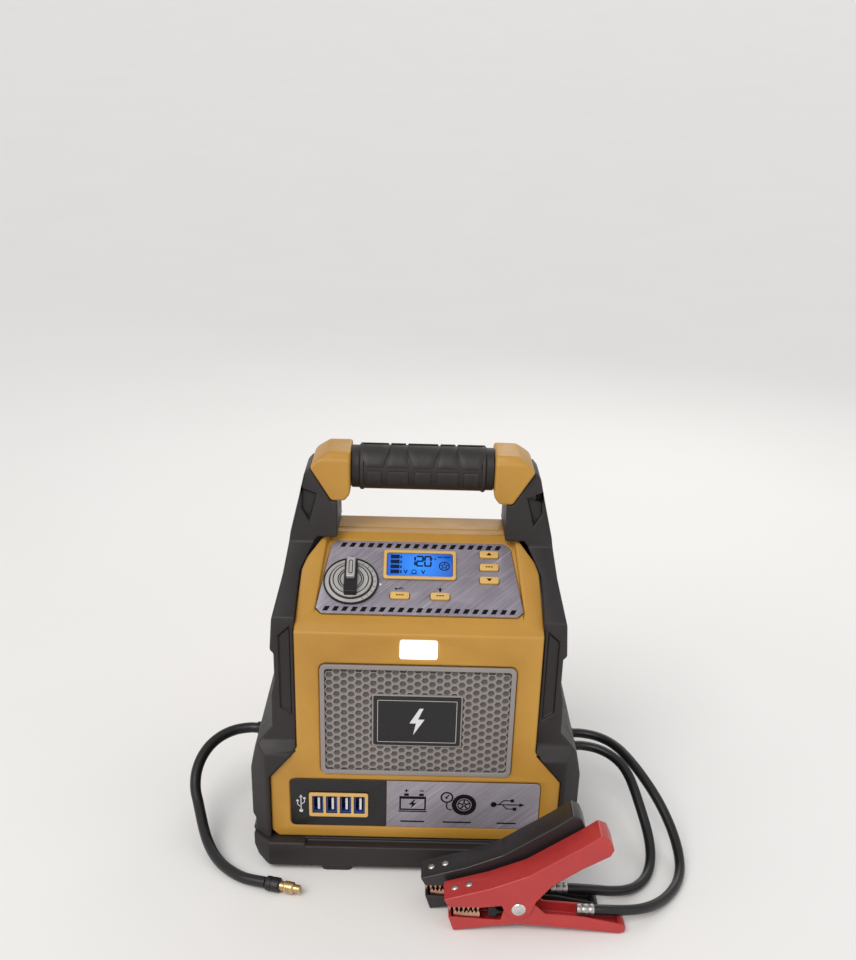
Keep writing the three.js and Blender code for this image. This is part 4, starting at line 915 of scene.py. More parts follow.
@dataclass
class Body:
    """The housing shells, side guards, base and feet, with the screws of the back."""

    screws: tuple[tuple[float, float], ...] = ((0.088, 0.205), (-0.088, 0.205),
                                               (0.106, 0.046), (-0.106, 0.046))

    def shells(self) -> None:
        """Rounds the edges of the moulded parts."""
        for node, width in {"front_housing": 0.0016, "rear_housing": 0.0014,
                            "left_guard": 0.0016, "right_guard": 0.0016,
                            "base_bumper": 0.0018, "handle_left_end": 0.0022,
                            "handle_right_end": 0.0022}.items():
            softened(node, width)
        for end in ("front", "rear"):
            for side in ("left", "right"):
                softened(f"{end}_{side}_foot", 0.0007)

    def screw(self, number: int, u: float, v: float) -> None:
        """A domed screw on the back, whose cross recess is a black cross of painted shade."""
        face = REAR.box("rear_housing")[1].z - 0.011
        plane = REAR.at(u, v, face)
        head = Shape(plane).turned([(0.0046, -0.0006), (0.0046, 0.0005), (0.0040, 0.0013),
                                    (0.0028, 0.0018), (0.0012, 0.0020)], 28)
        head.done(f"back_screw_{number}", "pack", "rivet_steel")
        # painted shade: no recess is cut; the black cross stands in for the shade inside it
        cross = Shape(plane)
        for points in (((-0.0022, 0.0), (0.0022, 0.0)), ((0.0, -0.0022), (0.0, 0.0022))):
            cross.stroke(points, 0.0008, 0.0012, 0.0021)
        cross.done(f"back_screw_cross_shade_{number}", "pack", "dial_black")

    def build(self) -> None:
        """Makes the whole body."""
        self.shells()
        for number, (u, v) in enumerate(self.screws, 1):
            self.screw(number, u, v)


@dataclass
class Grip:
    """The rubber grip with its two rows of raised blocks, front and back."""

    radius: float = 0.0182
    block: float = 0.0013
    collar: float = 0.0175
    upper: tuple[tuple[float, float, float], ...] = (
        (-0.040, 0.0115, 0.0075), (-0.0205, 0.0062, 0.0085), (0.0, 0.0125, 0.0078),
        (0.0205, 0.0062, 0.0085), (0.040, 0.0115, 0.0075))
    lower: tuple[tuple[float, float], ...] = (
        (-0.040, 0.0058), (-0.0205, 0.0085), (0.0, 0.0062), (0.0205, 0.0085), (0.040, 0.0058))

    def plane(self) -> Plane:
        """The grip's axis as a frame whose w runs along the handle."""
        low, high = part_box("handle_grip")
        middle = (low + high) / 2
        return Plane((0.0, middle.y, middle.z), (0, 1, 0), (0, 0, 1))

    def patch(self, shape: Shape, low: float, high: float, spread: Callable[[float], tuple],
              steps: int = 9) -> None:
        """A raised block between two angles from the front, of a width that may change.

        Args:
            shape: the mesh it is added to.
            low: the lower angle in degrees.
            high: the upper angle in degrees.
            spread: left and right edge for a share of the way up.
            steps: how many rows it has.
        """
        rows = {}
        for level, lift in ((0, -0.0006), (1, self.block * 0.75), (2, self.block)):
            inset = 0.0007 if level == 2 else 0.0
            rows[level] = []
            for i in range(steps + 1):
                share = i / steps
                angle = math.radians(low + (high - low) * share)
                if level == 2:
                    angle += math.radians(2.2) * (1 if i == 0 else -1 if i == steps else 0)
                left, right = spread(share)
                left, right = left + inset, right - inset
                radius = self.radius + lift
                rows[level].append(shape.loop(
                    (-math.cos(angle) * radius, math.sin(angle) * radius,
                     left + (right - left) * k / 4) for k in range(5)))
        for first, second in zip(rows[2], rows[2][1:]):
            shape.bridge(first, second, closed=False)
        for under, over in ((0, 1), (1, 2)):
            around = [self.around(rows[level]) for level in (under, over)]
            shape.bridge(around[0], around[1])

    def around(self, rows: list[list]) -> list:
        """The vertices round the border of a grid."""
        return (rows[0] + [row[-1] for row in rows[1:]] + rows[-1][-2::-1]
                + [row[0] for row in rows[-2:0:-1]])

    def build(self) -> None:
        """Makes the tube and its blocks."""
        low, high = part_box("handle_grip")
        half, neck = high.x, 0.052
        plane = self.plane()
        tube = Shape(plane).turned([
            (0.0095, -half), (self.collar - 0.0006, -half), (self.collar, -half + 0.0006),
            (self.collar, -neck - 0.0008), (self.radius + 0.0009, -neck + 0.0006),
            (self.radius + 0.0009, -neck + 0.0028), (self.radius, -neck + 0.0036),
            (self.radius, neck - 0.0036), (self.radius + 0.0009, neck - 0.0028),
            (self.radius + 0.0009, neck - 0.0006), (self.collar, neck + 0.0008),
            (self.collar, half - 0.0006), (self.collar - 0.0006, half), (0.0095, half),
            (0.0095, -half)], 72)
        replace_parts(tube.done("grip_tube", "pack", "grip_rubber"), "handle_grip")
        blocks = Shape(plane)
        for side in (0, 1):
            for middle, top, bottom in self.upper:
                lo, hi = (16.0, 84.0) if side == 0 else (164.0, 96.0)
                self.patch(blocks, lo, hi, lambda t, m=middle, a=bottom, b=top: (
                    m - a - (b - a) * min(1.0, t * 1.7), m + a + (b - a) * min(1.0, t * 1.7)))
            for middle, width in self.lower:
                lo, hi = (-34.0, 4.0) if side == 0 else (214.0, 176.0)
                self.patch(blocks, lo, hi, lambda t, m=middle, a=width: (m - a, m + a), 5)
        blocks.done("grip_blocks", "pack", "grip_rubber")
        softened("handle_core", 0.0006)


# ---------------------------------------------------------------- control panel


SEGMENTS = {"0": "abcdef", "1": "bc", "2": "abged", "5": "afgcd"}


@dataclass
class ControlPanel:
    """The brushed plate on the slope, with its dial, screen, buttons and printed marks."""

    ink: float = 0.00012
    dash_pitch: float = 0.0076
    dash_width: float = 0.0040
    dash_height: float = 0.0044
    dash_lean: float = 0.0022
    knob_body: str = "switch_knob"
    bars: int = 4
    reading: str = "120"

    def plate(self) -> None:
        """The plate and its rows of leaning dashes."""
        softened("control_panel", 0.0004)
        low, high = SLOPE.box("control_panel")
        dashes = Shape(SLOPE)
        for v, half in ((low.y + 0.0022, high.x - 0.0075), (high.y - 0.0066, high.x - 0.0165)):
            count = int(2 * half / self.dash_pitch)
            for i in range(count + 1):
                u = (i - count / 2) * self.dash_pitch - self.dash_width / 2
                lean = self.dash_lean / 2
                dashes.slab([(u - lean, v), (u - lean + self.dash_width, v),
                             (u + lean + self.dash_width, v + self.dash_height),
                             (u + lean, v + self.dash_height)], high.z, high.z + self.ink)
        repaint(dashes.done("panel_dashes", "pack", "dial_black"), Extra.INK)

    def dial(self) -> None:
        """The ring round the knob: black rim, silver scale and ticks."""
        low, high = SLOPE.box("switch_dial")
        plane = SLOPE.at((low.x + high.x) / 2, (low.y + high.y) / 2, low.z)
        rim = Shape(plane).turned([(0.0215, 0.0), (0.0228, 0.0), (0.0228, 0.0014),
                                   (0.0225, 0.0020), (0.0218, 0.0020), (0.0215, 0.0014),
                                   (0.0215, 0.0)], 72)
        rim.turned([(0.0172, 0.0), (0.0182, 0.0), (0.0182, 0.0020), (0.0172, 0.0020),
                    (0.0172, 0.0)], 64)
        for degrees in range(-60, 61, 15):
            turn = math.radians(degrees)
            c, s = math.cos(turn), math.sin(turn)
            rim.stroke([(0.0190 * c, 0.0190 * s), (0.0206 * c, 0.0206 * s)], 0.0004,
                       0.0010, 0.0014)
        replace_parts(rim.done("dial_rim", "pack", "dial_black"), "switch_dial")
        Shape(plane).turned([(0.0183, 0.0), (0.0214, 0.0), (0.0214, 0.0011), (0.0183, 0.0013),
                             (0.0183, 0.0)], 72).done("dial_scale", "pack", "knob_silver")
        dot = Shape(plane.at(0.0243, -0.0022, -0.0003)).turned(
            [(0.0011, 0.0), (0.0011, 0.0006), (0.0007, 0.0009), (0.0003, 0.0010)], 20)
        repaint(dot.done("dial_dot", "pack", "knob_silver"), Extra.TONGUE)

    def knob(self) -> None:
        """The turning knob: grooved silver disc, black bar and silver pointer."""
        low, high = SLOPE.box("switch_knob")
        plane = SLOPE.at((low.x + high.x) / 2, (low.y + high.y) / 2, 0.0)
        base = SLOPE.box("switch_dial")[0].z
        profile = [(0.0040, low.z), (0.0040, base), (0.0166, base), (0.0170, base + 0.0004),
                   (0.0170, base + 0.0030), (0.0164, base + 0.0038)]
        for radius in (0.0145, 0.0104, 0.0088):
            top = base + 0.0040
            profile += [(radius + 0.0005, top), (radius + 0.0003, top - 0.0007),
                        (radius - 0.0003, top - 0.0007), (radius - 0.0005, top)]
        profile += [(0.0030, base + 0.0040), (0.0010, base + 0.0040)]
        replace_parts(Shape(plane).turned(profile, 72).done("knob_disc", self.knob_body,
                                                          "knob_silver"), "switch_knob")
        # painted shade: black rings at the bottoms of the disc's grooves stand in for the shade in
        # them
        rings = Shape(plane)
        for radius in (0.0145, 0.0104, 0.0088):
            rings.ring(0.0, 0.0, radius + 0.00034, radius - 0.00034, base + 0.0032,
                       base + 0.0037, 72)
        rings.done("knob_groove_shade", self.knob_body, "dial_black")
        Shape(plane).slab(rounded(-0.0053, -0.0160, 0.0053, 0.0162, 0.0014), base + 0.0020,
                          base + 0.0095).done("knob_bar", self.knob_body, "dial_black", 0.0009)
        Shape(plane).slab(rounded(-0.0036, -0.0034, 0.0036, 0.0164, 0.0016), base + 0.0080,
                          high.z - 0.0002).done("knob_pointer", self.knob_body, "knob_silver",
                                                0.0010)
        # painted shade: no slot is cut; a black border stands in for the shade on the slot's walls
        Shape(plane).band(rounded(-0.0017, -0.0006, 0.0017, 0.0128, 0.0016),
                          rounded(-0.0011, 0.0000, 0.0011, 0.0122, 0.0010),
                          high.z - 0.0006, high.z).done("knob_slot_shade", self.knob_body,
                                                        "dial_black")

    def digit(self, shape: Shape, number: str, u: float, v: float, low: float,
              high: float) -> None:
        """One digit of seven bars, from its lower left corner."""
        wide, tall, thick = 0.0050, 0.0096, 0.0015
        half = tall / 2
        bars = {"a": ((0, tall), (wide, tall)), "b": ((wide, half), (wide, tall)),
                "c": ((wide, 0), (wide, half)), "d": ((0, 0), (wide, 0)),
                "e": ((0, 0), (0, half)), "f": ((0, half), (0, tall)),
                "g": ((0, half), (wide, half))}
        for letter in SEGMENTS[number]:
            (x0, y0), (x1, y1) = bars[letter]
            pad = 0.0005
            dx, dy = (pad if x1 > x0 else 0.0), (pad if y1 > y0 else 0.0)
            shape.stroke([(u + x0 + dx - pad * (x1 > x0) * 1.4, v + y0 + dy),
                          (u + x1 - dx + pad * (x1 > x0) * 1.4, v + y1 - dy)], thick, low, high)

    def screen(self) -> None:
        """The lit window, its bezel and what it shows."""
        softened("lcd_bezel", 0.0007)
        softened("lcd_window", 0.0003)
        low, high = SLOPE.box("lcd_window")
        under, over = high.z - 0.00005, high.z + self.ink
        marks = Shape(SLOPE)
        for i in range(self.bars):
            v = low.y + 0.0026 + i * 0.0050
            marks.slab(rounded(low.x + 0.0028, v, low.x + 0.0102, v + 0.0038, 0.0003, 2),
                       under, over)
            marks.slab([(low.x + 0.0108, v + 0.0004), (low.x + 0.0120, v + 0.0004),
                        (low.x + 0.0120, v + 0.0030), (low.x + 0.0108, v + 0.0030)],
                       under, over)
        for i, number in enumerate(self.reading):
            self.digit(marks, number, low.x + 0.0180 + i * 0.0066, high.y - 0.0124, under, over)
        for u in (0.0140, 0.0285):
            marks.stroke([(low.x + u, low.y + 0.0064), (low.x + u + 0.0014, low.y + 0.0028),
                          (low.x + u + 0.0028, low.y + 0.0064)], 0.0008, under, over)
        marks.ring(low.x + 0.0224, low.y + 0.0046, 0.0022, 0.0015, under, over, 24)
        marks.stroke([(low.x + 0.0192, low.y + 0.0024), (low.x + 0.0256, low.y + 0.0024)],
                     0.0005, under, over)
        gauge_u, gauge_v = high.x - 0.0068, (low.y + high.y) / 2 - 0.0006
        marks.ring(gauge_u, gauge_v, 0.0046, 0.0037, under, over, 36)
        marks.ring(gauge_u, gauge_v, 0.0021, 0.0014, under, over, 24)
        for k in range(5):
            turn = math.tau * k / 5 + 0.3
            marks.stroke([(gauge_u + 0.0021 * math.cos(turn), gauge_v + 0.0021 * math.sin(turn)),
                          (gauge_u + 0.0037 * math.cos(turn), gauge_v + 0.0037 * math.sin(turn))],
                         0.0006, under, over)
        for u0, u1 in ((-0.0125, -0.0085), (-0.0075, -0.0020)):
            marks.stroke([(high.x + u0, high.y - 0.0032), (high.x + u1, high.y - 0.0032)],
                         0.0009, under, over)
        for u0, u1 in ((-0.0190, -0.0165), (-0.0155, -0.0135)):
            marks.stroke([(high.x + u0, high.y - 0.0050), (high.x + u1, high.y - 0.0050)],
                         0.0010, under, over)
        repaint(marks.done("screen_marks", "pack", "dial_black"), Extra.SEGMENT)

    def buttons(self) -> None:
        """The five buttons, each with its printed mark."""
        for node in ("up_button", "air_button", "down_button", "usb_button", "light_button"):
            softened(node, 0.0006)
            low, high = SLOPE.box(node)
            u, v = (low.x + high.x) / 2, (low.y + high.y) / 2
            mark = Shape(SLOPE)
            span = (high.z - 0.00005, high.z + self.ink)
            if node == "up_button":
                mark.slab([(u - 0.0024, v - 0.0013), (u + 0.0024, v - 0.0013),
                           (u, v + 0.0015)], *span)
            elif node == "down_button":
                mark.slab([(u + 0.0024, v + 0.0013), (u - 0.0024, v + 0.0013),
                           (u, v - 0.0015)], *span)
            else:
                for shift in (-0.0022, 0.0, 0.0022):
                    mark.stroke([(u + shift - 0.0008, v), (u + shift + 0.0008, v)], 0.0010, *span)
            repaint(mark.done(node + "_mark", node, "dial_black"), Extra.INK)

    def hints(self) -> None:
        """Small printed signs on the plate: a plug, a lamp and a notch over the dial."""
        top = SLOPE.box("control_panel")[1].z
        signs = Shape(SLOPE)
        low, high = SLOPE.box("usb_button")
        u, v = (low.x + high.x) / 2, high.y + 0.0038
        signs.stroke([(u - 0.0030, v), (u + 0.0034, v)], 0.0006, top, top + self.ink)
        signs.slab(circle(u - 0.0032, v, 0.0010, 16), top, top + self.ink)
        signs.stroke([(u - 0.0010, v), (u + 0.0006, v + 0.0014), (u + 0.0020, v + 0.0014)],
                     0.0005, top, top + self.ink)
        low, high = SLOPE.box("light_button")
        u, v = (low.x + high.x) / 2, high.y + 0.0040
        signs.slab(circle(u, v, 0.0013, 20), top, top + self.ink)
        signs.stroke([(u, v - 0.0012), (u, v - 0.0025)], 0.0012, top, top + self.ink)
        for turn in (0.4, 1.57, 2.74):
            c, s = math.cos(turn), math.sin(turn)
            signs.stroke([(u + 0.0019 * c, v + 0.0019 * s), (u + 0.0027 * c, v + 0.0027 * s)],
                         0.0004, top, top + self.ink)
        low, high = SLOPE.box("switch_dial")
        u, v = (low.x + high.x) / 2, high.y + 0.0012
        signs.slab([(u - 0.0012, v + 0.0020), (u, v), (u + 0.0012, v + 0.0020)],
                   top, top + self.ink)
        repaint(signs.done("panel_signs", "pack", "dial_black"), Extra.INK)

    def build(self) -> None:
        """Makes the whole panel."""
        self.plate()
        self.dial()
        self.knob()
        self.screen()
        self.buttons()
        self.hints()


# ---------------------------------------------------------------- front face


@dataclass
class Grille:
    """The honeycomb plate with a rim round it and round its badge."""

    pitch: float = 0.0070
    rim: float = 0.0040
    badge_rim: float = 0.0016
    ridge: float = 0.0006
    hole: float = 0.0024

    def cell(self, shape: Shape, u: float, v: float, area: tuple[float, ...],
             face: float) -> None:
        """One flat-topped hexagon, its ridge and its round hollow.

        Args:
            shape: the mesh it is added to.
            u: its middle across.
            v: its middle upwards.
            area: left, low, right and high limits of the honeycomb.
            face: w of the ridges.
        """
        side = self.pitch / math.sqrt(3.0)
        left, low, right, high = area

        def hexagon(scale: float) -> list[tuple[float, float]]:
            corners = [(side * scale * math.cos(math.tau * k / 6),
                        side * scale * math.sin(math.tau * k / 6)) for k in range(6)]
            made = []
            for (x0, y0), (x1, y1) in zip(corners, corners[1:] + corners[:1]):
                made += [(x0, y0), ((x0 + x1) / 2, (y0 + y1) / 2)]
            return made

        inner = 1.0 - self.ridge * 2 / self.pitch
        rows = []
        for outline, w in ((hexagon(1.0), face), (hexagon(inner), face),
                           (circle(0, 0, self.hole + 0.0004, 12), face - 0.0007),
                           (circle(0, 0, self.hole, 12), face - 0.0015)):
            rows.append(shape.loop((min(max(u + x, left), right), min(max(v + y, low), high), w)
                                   for x, y in outline))
        for first, second in zip(rows, rows[1:]):
            shape.bridge(first, second)

    def build(self) -> None:
        """Makes the plate, the honeycomb and both rims."""
        low, high = FRONT.box("grille_plate")
        badge_low, badge_high = FRONT.box("badge_plate")
        face = high.z - 0.0008
        plate = Shape(FRONT).slab(rounded(low.x, low.y, high.x, high.y, 0.005),
                                  low.z, high.z - 0.0024)
        # painted shade: the back plate takes the dark recess colour, seen through the holes and
        # along the grille's edge
        back = repaint(plate.done("grille_back", "pack", "dial_black", 0.0003), Extra.RECESS_SHADE)
        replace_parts(back, "grille_plate")
        area = (low.x + self.rim - 0.0002, low.y + self.rim - 0.0002,
                high.x - self.rim + 0.0002, high.y - self.rim + 0.0002)
        comb = Shape(FRONT)
        step = self.pitch / math.sqrt(3.0) * 1.5
        columns = int((area[2] - area[0]) / step / 2) + 1
        rows = int((area[3] - area[1]) / self.pitch / 2) + 1
        middle = (low.y + high.y) / 2
        for i in range(-columns, columns + 1):
            for j in range(-rows, rows + 1):
                u, v = i * step, middle + (j + (i % 2) / 2) * self.pitch
                outside = not (area[0] < u < area[2] and area[1] < v < area[3])
                covered = (badge_low.x + 0.002 < u < badge_high.x - 0.002
                           and badge_low.y + 0.002 < v < badge_high.y - 0.002)
                if not outside and not covered:
                    self.cell(comb, u, v, area, face)
        comb.done("grille_comb", "pack", "grille_metal")
        frames = Shape(FRONT).band(
            rounded(low.x, low.y, high.x, high.y, 0.005),
            rounded(low.x + self.rim, low.y + self.rim, high.x - self.rim, high.y - self.rim,
                    0.0025), high.z - 0.0024, high.z)
        b = self.badge_rim
        frames.band(rounded(badge_low.x - b, badge_low.y - b, badge_high.x + b, badge_high.y + b,
                            0.0016), rounded(badge_low.x, badge_low.y, badge_high.x, badge_high.y,
                                             0.0008), high.z - 0.0024, high.z + 0.0002)
        frames.done("grille_rims", "pack", "grille_metal", 0.0007)


@dataclass
class FrontFace:
    """The lamp, the badge, the socket strip and the pictured label."""

    ink: float = 0.00012

    def badge(self) -> None:
        """The black badge with a plain bolt and a thin border."""
        softened("badge_plate", 0.0005)
        low, high = FRONT.box("badge_plate")
        u, v = (low.x + high.x) / 2, (low.y + high.y) / 2
        top = high.z
        bolt = [(0.0020, 0.0125), (-0.0062, -0.0015), (-0.0008, -0.0015), (-0.0030, -0.0125),
                (0.0062, 0.0022), (0.0008, 0.0022), (0.0052, 0.0125)]
        mark = Shape(FRONT).slab([(u + x, v + y) for x, y in bolt], top - 0.0001,
                                 top + 0.0002)
        repaint(mark.done("badge_bolt", "pack", "knob_silver"), Extra.TONGUE)
        line = Shape(FRONT).band(
            rounded(low.x + 0.0030, low.y + 0.0030, high.x - 0.0030, high.y - 0.0030, 0.001),
            rounded(low.x + 0.0035, low.y + 0.0035, high.x - 0.0035, high.y - 0.0035, 0.0006),
            top - 0.0001, top + 0.0001)
        line.done("badge_line", "pack", "knob_silver")

    def lamp(self) -> None:
        """The lamp's lens with ribs."""
        softened("led_lens", 0.0006)
        low, high = FRONT.box("led_lens")
        ribs = Shape(FRONT)
        for i in range(1, 8):
            u = low.x + (high.x - low.x) * i / 8
            ribs.slab([(u - 0.0004, low.y + 0.0014), (u + 0.0004, low.y + 0.0014),
                       (u + 0.0004, high.y - 0.0014), (u - 0.0004, high.y - 0.0014)],
                      high.z - 0.0001, high.z + 0.0003)
        ribs.done("lens_ribs", "pack", "lamp_lens", 0.0001)

    def sockets(self) -> None:
        """The black strip, its framed sockets and the sign beside them."""
        softened("usb_panel", 0.0003)
        low, high = FRONT.box("usb_frame")
        deep, front = (corner.z for corner in FRONT.box("usb_module"))
        middle, v = (low.x + high.x) / 2, (low.y + high.y) / 2
        frames = Shape(FRONT).band(
            rounded(low.x, low.y, high.x, high.y, 0.0020),
            rounded(low.x + 0.0028, low.y + 0.0032, high.x - 0.0028, high.y - 0.0032, 0.0008),
            low.z, high.z)
        for i in (-1, 0, 1):
            u = middle + i * 0.012
            frames.slab([(u - 0.0012, low.y + 0.0030), (u + 0.0012, low.y + 0.0030),
                         (u + 0.0012, high.y - 0.0030), (u - 0.0012, high.y - 0.0030)],
                        low.z, high.z - 0.0003)
        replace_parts(frames.done("socket_frame", "pack", "cream_plastic", 0.0005), "usb_frame")
        shells = Shape(FRONT)
        for i in range(4):
            u = middle + (i - 1.5) * 0.012
            shells.band(rounded(u - 0.0046, v - 0.0085, u + 0.0046, v + 0.0085, 0.0005, 2),
                        rounded(u - 0.0033, v - 0.0073, u + 0.0033, v + 0.0073, 0.0004, 2),
                        deep + 0.0040, front)
            shells.slab(rounded(u - 0.0046, v - 0.0085, u + 0.0046, v + 0.0085, 0.0005, 2),
                        deep, deep + 0.0041)
        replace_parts(shells.done("socket_shells", "pack", "port_blue", 0.0002), "usb_module")
        tongues, contacts = Shape(FRONT), Shape(FRONT)
        for i in range(4):
            u = middle + (i - 1.5) * 0.012 + 0.0009
            tongues.slab(rounded(u - 0.0010, v - 0.0058, u + 0.0010, v + 0.0058, 0.0003, 2),
                         front - 0.0109, front - 0.0006)
            for k in range(4):
                w = v + (k - 1.5) * 0.0026
                contacts.slab([(u - 0.00125, w - 0.0006), (u - 0.0009, w - 0.0006),
                               (u - 0.0009, w + 0.0006), (u - 0.00125, w + 0.0006)],
                              front - 0.0090, front - 0.0012)
        repaint(tongues.done("socket_tongues", "pack", "port_blue", 0.0002), Extra.TONGUE)
        contacts.done("socket_contacts", "pack", "brass_tip")
        left = FRONT.box("usb_panel")[0]
        top = FRONT.box("usb_panel")[1].z
        u = (left.x + low.x) / 2 + 0.001
        sign = Shape(FRONT)
        sign.stroke([(u, v - 0.0070), (u, v + 0.0070)], 0.0007, top, top + self.ink)
        sign.slab(circle(u, v - 0.0072, 0.0016, 20), top, top + self.ink)
        sign.slab([(u - 0.0015, v + 0.0062), (u + 0.0015, v + 0.0062), (u, v + 0.0090)],
                  top, top + self.ink)
        for side, low_v, high_v in ((-1, -0.0035, 0.0010), (1, -0.0010, 0.0035)):
            sign.stroke([(u, v + low_v), (u + side * 0.0030, v + low_v + 0.0025),
                         (u + side * 0.0030, v + high_v + 0.0014)], 0.0006, top,
                        top + self.ink)
            sign.slab(circle(u + side * 0.0030, v + high_v + 0.0018, 0.0011, 16), top,
                      top + self.ink)
        repaint(sign.done("socket_sign", "pack", "knob_silver"), Extra.TONGUE)

    def label(self) -> None:
        """The brushed label with a battery, a tyre with its gauge and a port sign."""
        repaint(softened("icon_label", 0.0003), Extra.LABEL)
        low, high = FRONT.box("icon_label")
        base, top = high.z, high.z + self.ink
        v = (low.y + high.y) / 2 + 0.0028
        signs = Shape(FRONT)
        signs.band([(-0.0135, v - 0.0085), (0.0095, v - 0.0085), (0.0095, v + 0.0055),
                    (-0.0135, v + 0.0055)],
                   [(-0.0121, v - 0.0071), (0.0081, v - 0.0071), (0.0081, v + 0.0030),
                    (-0.0121, v + 0.0030)], base, top)
        signs.slab([(-0.0143, v - 0.0103), (0.0103, v - 0.0103), (0.0103, v - 0.0092),
                    (-0.0143, v - 0.0092)], base, top)
        for u in (-0.0095, 0.0035):
            signs.slab([(u, v + 0.0060), (u + 0.0040, v + 0.0060), (u + 0.0040, v + 0.0084),
                        (u, v + 0.0084)], base, top)
        signs.stroke([(-0.0092, v + 0.0112), (-0.0058, v + 0.0112)], 0.0009, base, top)
        signs.stroke([(-0.0075, v + 0.0095), (-0.0075, v + 0.0129)], 0.0009, base, top)
        signs.stroke([(0.0040, v + 0.0112), (0.0074, v + 0.0112)], 0.0009, base, top)
        bolt = [(0.0012, 0.0042), (-0.0034, -0.0008), (-0.0004, -0.0008), (-0.0016, -0.0048),
                (0.0032, 0.0008), (0.0004, 0.0008), (0.0022, 0.0042)]
        signs.slab([(x - 0.0020, y + v - 0.0020) for x, y in bolt], base, top)
        self.tyre(signs, 0.0425, v - 0.0020, base, top)
        self.gauge(signs, 0.0275, v + 0.0052, base, top)
        self.port_sign(signs, 0.0800, v - 0.0010, base, top)
        for u, half in ((-0.0020, 0.0105), (0.0370, 0.0125), (0.0800, 0.0085)):
            signs.slab(rounded(u - half, low.y + 0.0052, u + half, low.y + 0.0066, 0.0006, 3),
                       base, top)
        repaint(signs.done("label_signs", "pack", "dial_black"), Extra.INK)

    def tyre(self, shape: Shape, u: float, v: float, base: float, top: float) -> None:
        """A tyre with a five-spoked wheel."""
        shape.band([(u + (0.0104 + 0.0004 * (k % 2)) * math.cos(math.tau * k / 48),
                     v + (0.0104 + 0.0004 * (k % 2)) * math.sin(math.tau * k / 48))
                    for k in range(48)], circle(u, v, 0.0066, 48), base, top)
        shape.ring(u, v, 0.0058, 0.0048, base, top, 40)
        shape.ring(u, v, 0.0016, 0.0008, base, top, 20)
        for k in range(5):
            turn = math.tau * k / 5 + math.pi / 2
            c, s = math.cos(turn), math.sin(turn)
            shape.stroke([(u + 0.0015 * c, v + 0.0015 * s), (u + 0.0049 * c, v + 0.0049 * s)],
                         0.0013, base, top)

    def gauge(self, shape: Shape, u: float, v: float, base: float, top: float) -> None:
        """A round gauge with its needle and the hose that leads to the tyre."""
        shape.ring(u, v, 0.0056, 0.0042, base, top, 36)
        shape.stroke([(u - 0.0010, v - 0.0012), (u + 0.0018, v + 0.0026)], 0.0009, base, top)
        shape.slab(circle(u - 0.0004, v - 0.0003, 0.0011, 16), base, top)
        shape.stroke([(u + 0.0004, v - 0.0056), (u - 0.0004, v - 0.0088), (u + 0.0010, v - 0.0118),
                      (u + 0.0046, v - 0.0128)], 0.0010, base, top)

    def port_sign(self, shape: Shape, u: float, v: float, base: float, top: float) -> None:
        """A line with three branches, lying on its side."""
        shape.slab(circle(u - 0.0120, v, 0.0026, 24), base, top)
        shape.stroke([(u - 0.0120, v), (u + 0.0110, v)], 0.0010, base, top)
        shape.slab([(u + 0.0104, v - 0.0019), (u + 0.0150, v), (u + 0.0104, v + 0.0019)],
                   base, top)
        shape.stroke([(u - 0.0075, v), (u - 0.0035, v + 0.0042), (u + 0.0030, v + 0.0042)],
                     0.0009, base, top)
        shape.slab(circle(u + 0.0040, v + 0.0042, 0.0017, 20), base, top)
        shape.stroke([(u - 0.0045, v), (u - 0.0005, v - 0.0042), (u + 0.0050, v - 0.0042)],
                     0.0009, base, top)
        shape.slab([(u + 0.0048, v - 0.0058), (u + 0.0080, v - 0.0058), (u + 0.0080, v - 0.0026),
                    (u + 0.0048, v - 0.0026)], base, top)

    def build(self) -> None:
        """Makes everything on the front face but the grille."""
        self.badge()
        self.lamp()
        self.sockets()
        self.label()


# ---------------------------------------------------------------- back and inside


@dataclass
class Inside:
    """What the shells hold, and the charging inlet with its cap."""

    edges: dict[str, float] = field(default_factory=lambda: {
        "control_board": 0.0003, "battery_switch": 0.0008, "led_board": 0.0003,
        "chassis_plate": 0.0006, "battery": 0.0020, "compressor_motor": 0.0010,
        "compressor_cylinder": 0.0004, "charge_inlet": 0.0004})

    def build(self) -> None:
        """Rounds the inner parts and makes the cap."""
        for node, width in self.edges.items():
            softened(node, width)
        softened("charge_cap", 0.0007)
        low, high = REAR.box("charge_cap")
        plane = REAR.at((low.x + high.x) / 2, (low.y + high.y) / 2 - 0.001, high.z)
        Shape(plane).ring(0.0, 0.0, 0.0052, 0.0043, -0.0001, 0.0003, 40).ring(
            0.0, 0.0, 0.0014, 0.0006, -0.0001, 0.0003, 20).done(
                "charge_cap_ring", "charge_cap", "grip_rubber")
        hinge = REAR.at((low.x + high.x) / 2, high.y - 0.0014, low.z)
        Shape(hinge).slab([(-0.0080, -0.0010), (0.0080, -0.0010), (0.0080, 0.0012),
                           (-0.0080, 0.0012)], 0.0004, 0.0034).done(
                               "charge_cap_strap", "charge_cap", "grip_rubber", 0.0005)


# ---------------------------------------------------------------- clamps


